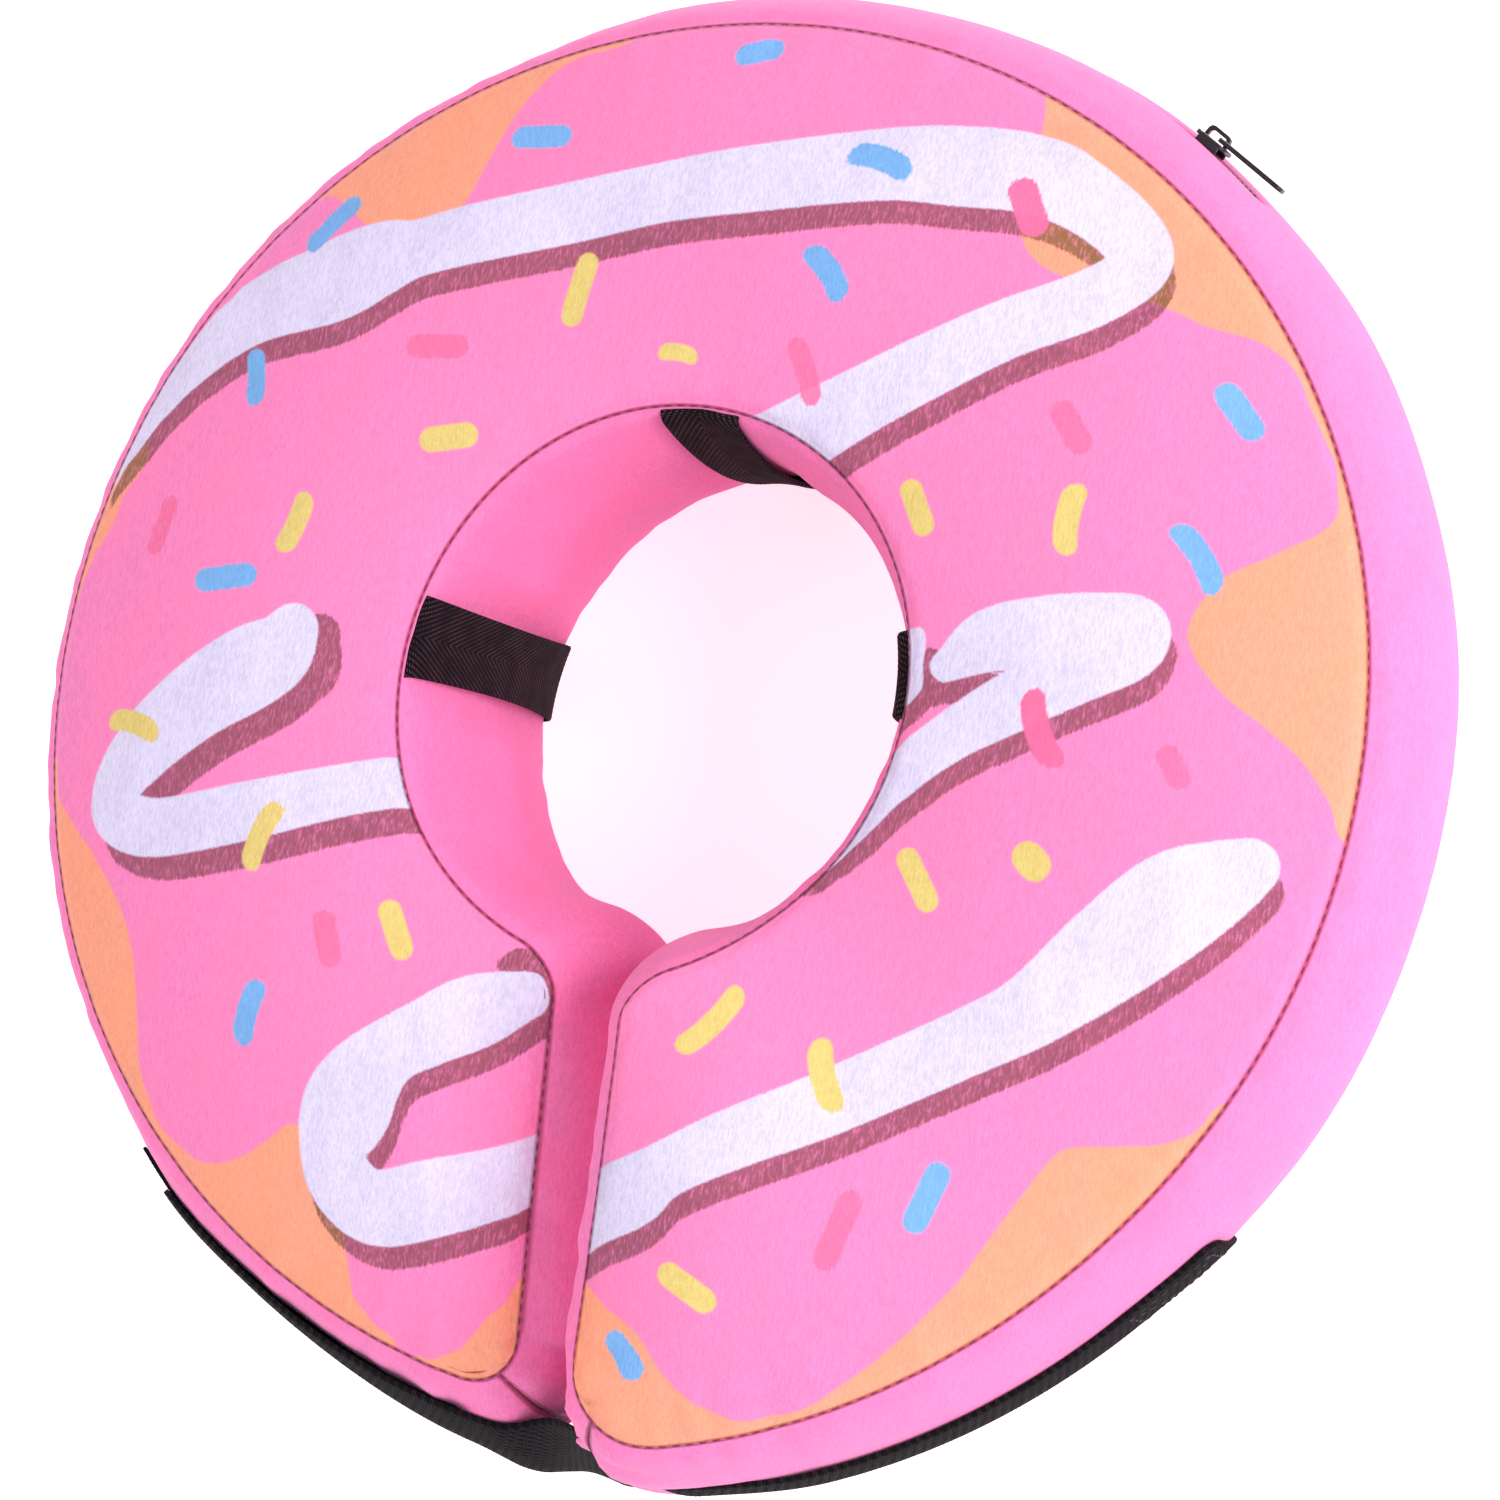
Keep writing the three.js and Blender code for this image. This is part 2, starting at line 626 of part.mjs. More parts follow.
function zipPull() {
  const armInner = bridgeWidth / 2 + sliderClearance;
  const armOuter = armInner + pullArmWidth;
  const z0 = -pullThickness / 2;
  const z1 = pullThickness / 2;
  const pin = new THREE.CylinderGeometry(pullPin / 2, pullPin / 2, 2 * armOuter, pinFacets);
  const armLength = pullEye + armOverlap;
  const arm = (y) =>
    new THREE.BoxGeometry(armLength, pullArmWidth, pullThickness).translate(armLength / 2, y, 0);
  const eyeCorner = new THREE.CylinderGeometry(pullPin / 2, pullPin / 2, pullArmWidth, pinFacets);
  const blade = roundedRectangle(pullEye, pullLength, pullWidth / 2, pullCorner);
  const slot = new THREE.Path();
  const slotEnd = pullLength - pullSlotMargin - pullSlotWidth / 2;
  const slotStart = slotEnd - pullSlotLength + pullSlotWidth;
  slot.absarc(slotEnd, 0, pullSlotWidth / 2, -Math.PI / 2, Math.PI / 2);
  slot.absarc(slotStart, 0, pullSlotWidth / 2, Math.PI / 2, 1.5 * Math.PI);
  blade.holes.push(slot);
  const armMiddle = (armInner + armOuter) / 2;
  return joined(
    pin,
    eyeCorner.clone().translate(0, armMiddle, 0),
    eyeCorner.clone().translate(0, -armMiddle, 0),
    arm(armMiddle),
    arm(-armMiddle),
    extrudedUp(blade, z0, z1),
  );
}

// Places a group on the zip's middle line, its x towards the slit's right and its z outward.
function onZip(angle) {
  const group = new THREE.Group();
  const out = toward(angle);
  const x = new THREE.Vector3(out.y, -out.x, 0);
  const z = new THREE.Vector3(out.x, out.y, 0);
  group.quaternion.setFromRotationMatrix(new THREE.Matrix4().makeBasis(x, z.clone().cross(x), z));
  group.position.copy(overBand(angle, zipRise, 0));
  return group;
}

// Assembly

const finishes = {
  plush: { color: plushPink, roughness: 0.95, metalness: 0 },
  webbing: { color: blackWebbing, roughness: 0.8, metalness: 0 },
  hookLoop: { color: blackWebbing, roughness: 0.9, metalness: 0 },
  metal: { color: 0x222226, roughness: 0.3, metalness: 0.9 },
};

function piece(name, geometry, finish) {
  const mesh = new THREE.Mesh(geometry, new THREE.MeshStandardMaterial(finishes[finish]));
  mesh.name = name;
  return mesh;
}

function zipHardware() {
  const group = onZip(sliderAngle);
  group.add(piece("zip_slider", zipSlider(), "metal"));
  const pull = piece("zip_pull", zipPull(), "metal");
  pull.position.set(pullPinOffset, 0, pinHeight);
  group.add(pull);
  return group;
}

const ring = new THREE.Group();
ring.add(
  piece("front_panel", facePanel(true), "plush"),
  piece("back_panel", facePanel(false), "plush"),
  piece("outer_band", outerBand(), "plush"),
  piece("inner_band", innerBand(), "plush"),
  piece("closure_strap", closureStrap(), "hookLoop"),
  piece("loop_patch", loopPatch(), "hookLoop"),
  ...Object.entries(loopAngles).map(([name, angle]) => piece(name, collarLoop(angle), "webbing")),
  piece("zip_tape", zipTape(), "webbing"),
  piece("zip_coil", zipCoil(), "webbing"),
  zipHardware(),
);

// The part's origin is under the middle of its outline, on the surface that it lies on.
const collar = new THREE.Group();
collar.add(ring);
collar.updateMatrixWorld(true);
const extent = new THREE.Box3().setFromObject(ring, true);
ring.position.set(-(extent.min.x + extent.max.x) / 2, -(extent.min.y + extent.max.y) / 2, -extent.min.z);

export default collar;
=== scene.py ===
import json
import math

import bpy
import numpy as np
from mathutils import Matrix, Vector


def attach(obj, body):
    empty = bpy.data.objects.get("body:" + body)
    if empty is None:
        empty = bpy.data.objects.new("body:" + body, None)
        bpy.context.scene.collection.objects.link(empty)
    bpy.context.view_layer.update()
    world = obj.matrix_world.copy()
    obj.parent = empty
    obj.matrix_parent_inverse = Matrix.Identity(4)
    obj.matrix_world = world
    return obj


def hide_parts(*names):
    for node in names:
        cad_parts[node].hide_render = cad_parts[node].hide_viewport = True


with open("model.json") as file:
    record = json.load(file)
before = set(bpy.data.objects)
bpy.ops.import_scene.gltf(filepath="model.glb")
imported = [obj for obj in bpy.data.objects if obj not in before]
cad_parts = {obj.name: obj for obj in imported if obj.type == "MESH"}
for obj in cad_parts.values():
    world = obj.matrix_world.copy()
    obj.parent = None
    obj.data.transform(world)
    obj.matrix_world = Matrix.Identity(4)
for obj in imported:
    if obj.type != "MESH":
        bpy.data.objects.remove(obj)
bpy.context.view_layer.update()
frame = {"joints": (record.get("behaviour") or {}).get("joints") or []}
print("frame loaded")

# Everything is worked out in millimetres and degrees. Angles start at the slit, which is towards -Y, and
# grow towards +X. A share runs once round the ring, from the right side of the slit to its left side.
mm = 0.001

camera = {
    "lens": 153.98,
    "distance": 1538.1,
    "azimuth": 81.22,
    "elevation": 70.29,
    "roll": -71.33,
    "target": (4.98, -4.56, 50.75),
}

ring = {
    "outerRadius": 165, "outerOval": 3.5, "outerOvalAngle": 149,
    "neckRadius": 63.5, "neckOval": 2.7, "neckOvalAngle": 162,
    "neckCentre": (-5.3, 3.6),
    "outerHalfHeight": 33.5, "neckHalfHeight": 49,
    "outerBulge": 11, "neckBulge": 8.5,
    "farSlack": (2.6, -168, 18, -34, 30),   # the five values of stretch
    "crown": 10, "crownRun": 35, "restFlat": 2,
    "slitHalf": 12.5, "slitLeftOuterHalf": 9.5,
    "endBulge": 14, "endSwellRun": 34, "endsApart": 0.7,
    "leftCorner": 14, "rightCorner": 22, "neckCorner": 10,
    "endRun": 60, "rightFrontLift": 17, "rightBackLift": 8, "rightSpread": 8.4, "leftFrontDrop": 7.8,
    "endLength": 101,
}

cloth = {
    "wall": 1.7,
    "seamSink": 1.5,        # how deep a seam draws the plush in
    "seamSpread": 2.8,
    "tuck": 2.6,            # the seam allowance turned inside
    "lean": 8.5,            # how far the left end leans over the slit's middle near the front
    "cornerLean": 3.2,      # more of it at the outer corner
    "overhang": 14,
    "pucker": 0.42,
    "puckerRun": 8,
    "cornerPucker": 1.9,
    "cornerReach": 24,
    "cornerFade": 18,       # the corner's puckers die out this near to it
    "wave": 0.45,           # slow unevenness of the whole skin
    "rows": 500,
    "faceColumns": 72,
    "backColumns": 30,
    "outerColumns": 40,
    "innerColumns": 52,
}

loop = {
    # node, angle, width and the dent behind it
    "places": {
        "loopLeft": ("collar_loop_left", -93, 18, 4.6),
        "loopBack": ("collar_loop_back", 180.6, 16.4, 2.6),
        "loopRight": ("collar_loop_right", 101.5, 18, 4.6),
    },
    "thickness": 1.2, "clearance": 0.4, "slack": 0.5, "bulge": 6.4,
    "dentFlat": 10, "dentReach": 24,
    "ribPitch": 1.12, "ribAngle": 27, "ribHeight": 0.2, "grid": 0.31,
}

strap = {
    "width": 30, "thickness": 1.3, "clearance": 0.3,
    "right": 55, "left": -41, "riseRight": -6.8, "riseLeft": 7,
    "corner": 5, "dent": 1.5, "dentRun": 10, "sewn": 9,
    "ribPitch": 1.5, "ribHeight": 0.2, "weavePitch": 1.1,
    # each with the five values of stretch
    "pressed": (1.2, 1, 9, 19, 9),
    "dip": (12.4, -7.5, 9, 9.5, 8),
    "leftLean": (5.5, -30, 22, 9, 7),
    "slitLean": (5, -11, 8, 9, 7),
}

patch = {"width": 34, "thickness": 0.9, "left": -45, "right": -11, "rise": 0}

zipper = {
    "left": 218, "right": 143, "rise": 3, "slot": 8, "fold": 1.3, "foldRun": 1.6,
    "tapeWidth": 20, "tapeThickness": 0.8, "tapeDepth": 3.2,
    "tapeOver": 2.7907,     # degrees that the tape runs on past each end of the slot
    "coilInset": 1, "coilDepth": 2.0, "toothPitch": 1.5, "toothAside": 0.75,
    "tooth": (0.5, 0.8, 1.35),
}

slider = {
    "angle": 149, "length": 9, "width": 8.6, "plate": 1.2, "clearance": 0.35, "corner": 2,
    "flange": 0.8, "flangeLength": 6.3,
    "bridgeLength": 6.8, "bridgeWidth": 1.6, "bridgeBar": 1,
}

pull = {
    "pin": 1.2, "pinOffset": 1.4, "behind": 0.75, "arm": 1.1, "thickness": 1.2,
    "width": 5, "length": 19.5, "eye": 6.6, "corner": 1.6,
    "slotWidth": 2, "slotLength": 7, "slotMargin": 2.2,
}

stitch = {"pitch": 3.2, "length": 2.3, "radius": 0.2, "boxRadius": 0.26, "boxInset": 3, "boxEndInset": 1.2}


# Ring plan and heights

def lerp(a, b, share):
    return a + (b - a) * share


def smooth(share):
    share = np.clip(share, 0, 1)
    return share * share * (3 - 2 * share)


# A size that grows from one angle over a first run, and is gone at another after a last run.
def stretch(angle, size, first, runUp, last, runDown):
    return size * smooth((angle - first) / runUp) * smooth((last - angle) / runDown)


def toward(angle):
    turn = np.radians(angle)
    return np.stack([np.sin(turn), -np.cos(turn)], axis=-1)


def signed(angle):
    return (np.asarray(angle) + 180) % 360 - 180


neckCentre = np.array(ring["neckCentre"], float)
slitRight = math.degrees(math.asin((neckCentre[0] + ring["slitHalf"]) / ring["outerRadius"]))
slitLeft = math.degrees(math.asin((neckCentre[0] - ring["slitLeftOuterHalf"]) / ring["outerRadius"]))


def endDrift(angle):
    a = signed(angle)
    across = smooth((a - slitLeft) / (slitRight - slitLeft))
    right = across * smooth(1 - np.maximum(a, 0) / ring["endRun"])
    left = (1 - across) * smooth(1 - np.maximum(-a, 0) / ring["endRun"])
    return right, left


def outerRadius(angle):
    oval = ring["outerOval"] * np.cos(np.radians(2 * (angle - ring["outerOvalAngle"])))
    return ring["outerRadius"] + oval + ring["rightSpread"] * endDrift(angle)[0]


def neckRadius(angle):
    oval = ring["neckOval"] * np.cos(np.radians(2 * (angle - ring["neckOvalAngle"])))
    return ring["neckRadius"] + oval + ring["rightSpread"] / 2 * endDrift(angle)[0]


outerStart = math.degrees(math.asin((neckCentre[0] + ring["slitHalf"]) / outerRadius(0)))
outerStop = 360 + math.degrees(
    math.asin((neckCentre[0] - ring["slitLeftOuterHalf"]) / outerRadius(360 + slitLeft))
)
neckStart = math.degrees(math.asin(ring["slitHalf"] / neckRadius(0)))
neckStop = 360 - math.degrees(math.asin(ring["slitHalf"] / neckRadius(360 + slitLeft)))
outerLength = math.radians(outerStop - outerStart) * ring["outerRadius"]
neckLength = math.radians(neckStop - neckStart) * ring["neckRadius"]
bandPerDegree = 2.9         # millimetres along the outer band


# A straight line across the ring at a share of the way round it.
def crossing(share):
    share = np.asarray(share, float)
    outerAngle = lerp(outerStart, outerStop, share)
    neckAngle = lerp(neckStart, neckStop, share)
    nearer = np.minimum(share, 1 - share)
    return {
        "outer": toward(outerAngle) * outerRadius(outerAngle)[..., None],
        "neck": toward(neckAngle) * neckRadius(neckAngle)[..., None] + neckCentre,
        "outerAngle": outerAngle,
        "neckAngle": neckAngle,
        "fromEndOuter": outerLength * nearer,
        "fromEndNeck": neckLength * nearer,
    }


def cornerInset(radius, fromEnd):
    left = np.maximum(radius - fromEnd, 0)
    return radius - np.sqrt(np.maximum(radius * radius - left * left, 0))


def outerCorner(share):
    return np.where(np.asarray(share) < 0.5, ring["rightCorner"], ring["leftCorner"])


def edgeShares(share):
    line = crossing(share)
    length = np.linalg.norm(line["outer"] - line["neck"], axis=-1)
    neckEdge = cornerInset(ring["neckCorner"], line["fromEndNeck"]) / length
    return neckEdge, 1 - cornerInset(outerCorner(share), line["fromEndOuter"]) / length


def planPoint(share, across):
    line = crossing(share)
    return lerp(line["neck"], line["outer"], np.asarray(across, float)[..., None])


crownPeak = 0.5 - (ring["neckHalfHeight"] - ring["outerHalfHeight"]) / (8 * ring["crown"])
middleHeight = (
    lerp(ring["neckHalfHeight"], ring["outerHalfHeight"], crownPeak)
    + 4 * ring["crown"] * crownPeak * (1 - crownPeak)
    - ring["restFlat"]
)


def seamHeight(share, across, front):
    half = lerp(ring["neckHalfHeight"], ring["outerHalfHeight"], across)
    right, left = endDrift(crossing(share)["outerAngle"])
    if front:
        return middleHeight + half + ring["rightFrontLift"] * right - ring["leftFrontDrop"] * left
    return middleHeight - half + ring["rightBackLift"] * right


# The middle of the air inside, which the seams are drawn towards.
coreMargin = 0.05


def core(share):
    held = np.clip(share, coreMargin, 1 - coreMargin)
    plan = planPoint(held, np.full(np.shape(held), 0.5))
    z = (seamHeight(held, 0.5, True) + seamHeight(held, 0.5, False)) / 2
    return np.concatenate([plan, z[..., None]], axis=-1)


def unit(vectors):
    return vectors / np.maximum(np.linalg.norm(vectors, axis=-1, keepdims=True), 1e-9)


# A few slow sine waves that cross each other make an uneven surface, the same on each run.
waveTable = np.random.default_rng(11).uniform(-1, 1, (14, 4))


def unevenness(points, wavelength):
    total = np.zeros(points.shape[:-1])
    for x, y, z, phase in waveTable:
        direction = np.array([x, y, z]) * 2 * math.pi / wavelength
        total += np.sin(points @ direction + phase * 9)
    return total / 4


def gathers(along, seed):
    total = np.zeros(np.shape(along))
    for k, wavelength in enumerate((7.7, 10.9, 15.1, 23.3)):
        total += np.sin(along * 2 * math.pi / wavelength + seed * 1.7 + k * 2.1) * (0.6 + 0.2 * k)
    return total / 2


# What a seam does to the cloth: draws it in, and gathers it into short puckers on either side.
def seamPull(points, share, distance, along, seed, nearCorner):
    inward = unit(core(share) - points)
    sink = cloth["seamSink"] * np.exp(-((distance / cloth["seamSpread"]) ** 2))
    rise = 1 - np.exp(-((distance / 2.5) ** 2))
    atCorner = np.exp(-nearCorner / cloth["cornerReach"])
    size = cloth["pucker"] + cloth["cornerPucker"] * atCorner * smooth(nearCorner / cloth["cornerFade"])
    run = cloth["puckerRun"] * (1 + 1.6 * atCorner)
    pucker = size * rise * np.exp(-distance / run) * gathers(along, seed)
    slow = cloth["wave"] * unevenness(points, 90) * np.clip(distance / 15, 0, 1)
    return points + inward * (sink + pucker + slow)[..., None]


# Cloth pieces of the cover

def endShares(corner):
    cornerShare = corner / outerLength
    neckShare = max(ring["neckCorner"] / neckLength, cornerShare * 1.5)
    turns = np.linspace(0, math.pi / 2, 15)
    return np.concatenate([
        cornerShare * (1 - np.cos(turns)),
        np.linspace(cornerShare, neckShare, 7)[1:],
    ])


def ringShares(count):
    right, left = endShares(ring["rightCorner"]), endShares(ring["leftCorner"])
    middle = np.linspace(right[-1], 1 - left[-1], count)[1:-1]
    return np.concatenate([right, middle, 1 - left[::-1]])


def facePoints(share, v, front):
    neckEdge, outerEdge = edgeShares(share)
    across = lerp(neckEdge, outerEdge, v)
    line = crossing(share)
    fromEnd = lerp(line["fromEndNeck"], line["fromEndOuter"], across)
    crown = ring["crown"] * 4 * v * (1 - v) * np.sin(math.pi / 2 * np.minimum(fromEnd / ring["crownRun"], 1))
    z = seamHeight(share, across, front) + (crown if front else -crown)
    plan = planPoint(share, across)
    return np.concatenate([plan, np.maximum(z, 0)[..., None]], axis=-1), across, fromEnd


# Repeats the outermost rows and columns, so that they can be turned inside the seam.
def withTuck(grid):
    wide = np.concatenate([grid[:1], grid[:1], grid, grid[-1:], grid[-1:]])
    return np.concatenate([wide[:, :1], wide[:, :1], wide, wide[:, -1:], wide[:, -1:]], axis=1)


def tuckDepth(rows, columns):
    down = np.zeros((rows, columns))
    down[[0, -1], :] = 1
    down[:, [0, -1]] = 1
    for k in (1, -2):
        down[k, :] = np.maximum(down[k, :], 0.4)
        down[:, k] = np.maximum(down[:, k], 0.4)
    return down * cloth["tuck"]


def facePanel(front, rows, columns):
    share = ringShares(rows)[:, None] * np.ones(columns + 1)
    v = np.ones(len(share))[:, None] * (1 - np.cos(np.linspace(0, math.pi, columns + 1))) / 2
    v = lerp(v, np.linspace(0, 1, columns + 1), 0.55)
    points, across, fromEnd = facePoints(share, v, front)
    line = crossing(share)
    length = np.linalg.norm(line["outer"] - line["neck"], axis=-1)
    distance = np.minimum(np.minimum(v, 1 - v) * length, fromEnd)
    alongSeam = np.where(v > 0.5, np.radians(line["outerAngle"]) * ring["outerRadius"],
                         np.radians(line["neckAngle"]) * ring["neckRadius"])
    atEnd = fromEnd < np.minimum(v, 1 - v) * length
    alongSeam = np.where(atEnd, across * length, alongSeam)
    nearCorner = np.hypot(line["fromEndOuter"], (1 - v) * length)
    plan = points.copy()
    bent = seamPull(points, share, distance, alongSeam, 3 if front else 5, nearCorner)
    grid = withTuck(bent)
    inward = withTuck(unit(core(share) - points))
    grid = grid + inward * tuckDepth(*grid.shape[:2])[..., None]
    if not front:
        grid[..., 2] = np.maximum(grid[..., 2], 0)
    return grid, withTuck(plan), withTuck(distance)


def loopPress(neckAngle):
    press = np.zeros(np.shape(neckAngle))
    for _, angle, _, dent in loop["places"].values():
        distance = np.radians(np.abs(signed(neckAngle - angle))) * ring["neckRadius"]
        share = (loop["dentReach"] - distance) / (loop["dentReach"] - loop["dentFlat"])
        press = np.maximum(press, dent * smooth(share))
    return press


def bandBulge(angle):
    a = signed(angle)
    inside = np.minimum(strap["right"] - a, a - strap["left"]) / strap["dentRun"]
    return ring["outerBulge"] - strap["dent"] * smooth(inside) - stretch(a, *ring["farSlack"])


# The two ends press on each other along a line that leans to the right towards the front.
def keptApart(x, y, share, w):
    half = ring["endsApart"] / 2
    lean = cloth["lean"] + cloth["cornerLean"] * smooth((-y - 144) / 18)
    touch = neckCentre[0] + lean * smooth((w + 0.35) / 1.1)
    x = np.where(share < 0.1, np.maximum(x, touch + half), x)
    return np.where(share > 0.9, np.minimum(x, touch - half), x)


# The kinds of edge that a side wall stands on
neckKind, outerKind, endKind = 0, 1, 2


# A strip of side wall along a run of stops: shares of the way round, places across, and the kind of edge.
def wallStrip(share, across, kind, hand, columns, seed, slotEdges=()):
    plan = planPoint(share, across)
    along = unit(np.gradient(plan, axis=0))
    normal = np.stack([along[:, 1], -along[:, 0]], axis=-1) * hand
    line = crossing(share)
    onNeck, onEnd = kind == neckKind, kind == endKind
    nearCorner = smooth(line["fromEndOuter"] / outerCorner(share))
    outerSwell = lerp(ring["endBulge"], bandBulge(line["outerAngle"]), nearCorner)
    nearEnd = smooth(line["fromEndNeck"] / ring["endSwellRun"])
    neckSwell = lerp(ring["endBulge"], ring["neckBulge"] - loopPress(line["neckAngle"]), nearEnd)
    bulge = np.where(onEnd, ring["endBulge"], np.where(onNeck, neckSwell, outerSwell))
    overhang = cloth["overhang"] * smooth(across / 0.35) * smooth((1 - across) / 0.15)
    bulge = bulge + np.where(onEnd & (share > 0.5), overhang, 0)
    w = lerp(-np.cos(np.linspace(0, math.pi, columns + 1)), np.linspace(-1, 1, columns + 1), 0.55)
    for edge in slotEdges:
        w[np.argmin(np.abs(w - edge))] = edge
    columns = len(w) - 1
    w = w[None, :]
    back = seamHeight(share, across, False)[:, None]
    front = seamHeight(share, across, True)[:, None]
    flat = plan[:, None, :] + normal[:, None, :] * (bulge[:, None] * (1 - w * w))[..., None]
    x = keptApart(flat[..., 0], flat[..., 1], share[:, None], w)
    z = np.maximum(lerp(back, front, (w + 1) / 2), 0)
    points = np.stack([x, flat[..., 1], z], axis=-1)
    run = np.concatenate([[0], np.cumsum(np.linalg.norm(np.diff(plan, axis=0), axis=-1))])
    toEnd = np.minimum(run, run[-1] - run)[:, None]
    height = (front - back) / 2
    distance = np.minimum((1 - np.abs(w)) * height, toEnd)
    alongSeam = np.where(onNeck[:, None], np.radians(line["neckAngle"])[:, None] * ring["neckRadius"],
                         np.radians(line["outerAngle"])[:, None] * ring["outerRadius"])
    alongSeam = np.where(onEnd[:, None], (across * ring["endLength"])[:, None], alongSeam)
    alongSeam = np.where(toEnd < (1 - np.abs(w)) * height, w * height, alongSeam)
    shares = share[:, None] * np.ones(columns + 1)
    corner = np.hypot(toEnd, (1 - np.abs(w)) * height)
    bent = seamPull(points, shares, distance, alongSeam, seed, corner)
    grid = withTuck(bent)
    inward = withTuck(unit(core(shares) - points))
    grid = grid + inward * tuckDepth(*grid.shape[:2])[..., None]
    grid[..., 2] = np.maximum(grid[..., 2], 0)
    return grid, withTuck(distance)


def cornerSeamShare(corner):
    return corner / outerLength * (1 - math.cos(math.pi / 4))


def outerBandGrid():
    shares = ringShares(cloth["rows"])
    first, last = cornerSeamShare(ring["rightCorner"]), 1 - cornerSeamShare(ring["leftCorner"])
    inner = shares[(shares > first + 1e-6) & (shares < last - 1e-6)]
    shares = np.concatenate([[first], inner, [last]])
    slotEnds = [(zipper[side] - outerStart) / (outerStop - outerStart) for side in ("right", "left")]
    for end in slotEnds:
        shares[np.argmin(np.abs(shares - end))] = end
    slotSides = [(zipper["rise"] + side * zipper["slot"] / 2) / ring["outerHalfHeight"] for side in (-1, 1)]
    across = edgeShares(shares)[1]
    kind = np.full(len(shares), outerKind)
    grid, distance = wallStrip(shares, across, kind, 1, cloth["outerColumns"], 7, slotSides)
    height = (grid[..., 2] - middleHeight) / ring["outerHalfHeight"]
    rowShare = np.concatenate([[-1, -1], shares, [2, 2]])
    inRows = (rowShare[:-1] > slotEnds[0] - 1e-6) & (rowShare[1:] < slotEnds[1] + 1e-6)
    centres = (height[:-1, :-1] + height[1:, 1:]) / 2
    gap = inRows[:, None] & (centres > slotSides[0]) & (centres < slotSides[1])
    # The slot's edges fold in a little.
    angles = lerp(outerStart, outerStop, rowShare)
    awayAlong = np.maximum(np.maximum(zipper["right"] - angles, angles - zipper["left"]), 0) * bandPerDegree
    awayAcross = np.maximum(np.abs(height * ring["outerHalfHeight"] - zipper["rise"]) - zipper["slot"] / 2, 0)
    away = np.hypot(awayAlong[:, None], awayAcross)
    outward = np.concatenate([toward(angles), np.zeros((len(angles), 1))], axis=-1)
    fold = zipper["fold"] * np.exp(-((away / zipper["foldRun"]) ** 2))
    grid = grid - outward[:, None, :] * fold[..., None]
    return grid, distance, gap


def innerBandGrid():
    first = np.linspace(cornerSeamShare(ring["rightCorner"]), 0, 9)
    last = 1 - np.linspace(0, cornerSeamShare(ring["leftCorner"]), 9)
    ends = np.linspace(0, 1, 44)[1:-1]
    shares = ringShares(int(cloth["rows"] * 0.62))
    neckEdge, outerEdge = edgeShares(np.array([0.0, 1.0]))
    share = np.concatenate([first, np.zeros(len(ends)), shares, np.ones(len(ends)), last])
    across = np.concatenate([
        edgeShares(first)[1],
        lerp(neckEdge[0], outerEdge[0], ends[::-1]),
        edgeShares(shares)[0],
        lerp(neckEdge[1], outerEdge[1], ends),
        edgeShares(last)[1],
    ])
    kinds = [outerKind, endKind, neckKind, endKind, outerKind]
    kind = np.repeat(kinds, [len(first), len(ends), len(shares), len(ends), len(last)])
    return wallStrip(share, across, kind, -1, cloth["innerColumns"], 9)


# A point over the outer band: rise is its height over the band's middle, out its distance from the cloth.
def overBand(angle, rise, out):
    right, left = endDrift(angle)
    front = ring["outerHalfHeight"] + ring["rightFrontLift"] * right - ring["leftFrontDrop"] * left
    back = -ring["outerHalfHeight"] + ring["rightBackLift"] * right
    share = rise / ((front - back) / 2)
    radius = outerRadius(angle) + bandBulge(angle) * (1 - share * share) + out
    z = middleHeight + (front + back) / 2 + rise
    return np.concatenate([toward(angle) * radius[..., None], z[..., None]], axis=-1)


# The ring sits in the part's frame where the pull's pin says.
pinHeight = slider["clearance"] + slider["plate"] + slider["clearance"] + pull["pin"] / 2


def zipAxes(angle):
    out = toward(angle)
    x = np.array([out[1], -out[0], 0])
    z = np.array([out[0], out[1], 0])
    return x, np.cross(z, x), z


hardwareX, hardwareY, hardwareZ = zipAxes(slider["angle"])
hardwarePlace = overBand(np.array(float(slider["angle"])), np.array(float(zipper["rise"])), np.array(0.0))
pinPlace = hardwarePlace + hardwareX * pull["pinOffset"] + hardwareZ * pinHeight
ringShift = np.array(frame["joints"][0]["pos_m"]) / mm - pinPlace
print("ring lies at", np.round(ringShift, 2))


# Camera

def placeCamera():
    turn = math.radians(camera["azimuth"])
    rise = math.radians(camera["elevation"])
    roll = math.radians(camera["roll"])
    back = Vector((math.sin(turn) * math.cos(rise), -math.cos(turn) * math.cos(rise), math.sin(rise)))
    flatRight = Vector((math.cos(turn), math.sin(turn), 0))
    flatUp = back.cross(flatRight)
    right = flatRight * math.cos(roll) + flatUp * math.sin(roll)
    up = back.cross(right)
    target = Vector(camera["target"]) + Vector(ringShift)
    made = bpy.data.cameras.new("viewCamera")
    made.lens = camera["lens"]
    made.clip_start = 0.05
    made.clip_end = 20
    holder = bpy.data.objects.new("viewCamera", made)
    bpy.context.scene.collection.objects.link(holder)
    turned = Matrix((right, up, back)).transposed()
    holder.matrix_world = Matrix.Translation((target + back * camera["distance"]) * mm) @ turned.to_4x4()
    bpy.context.scene.camera = holder


placeCamera()


# Mesh helpers

def toMetres(points):
    return (np.asarray(points, float).reshape(-1, 3) + ringShift) * mm


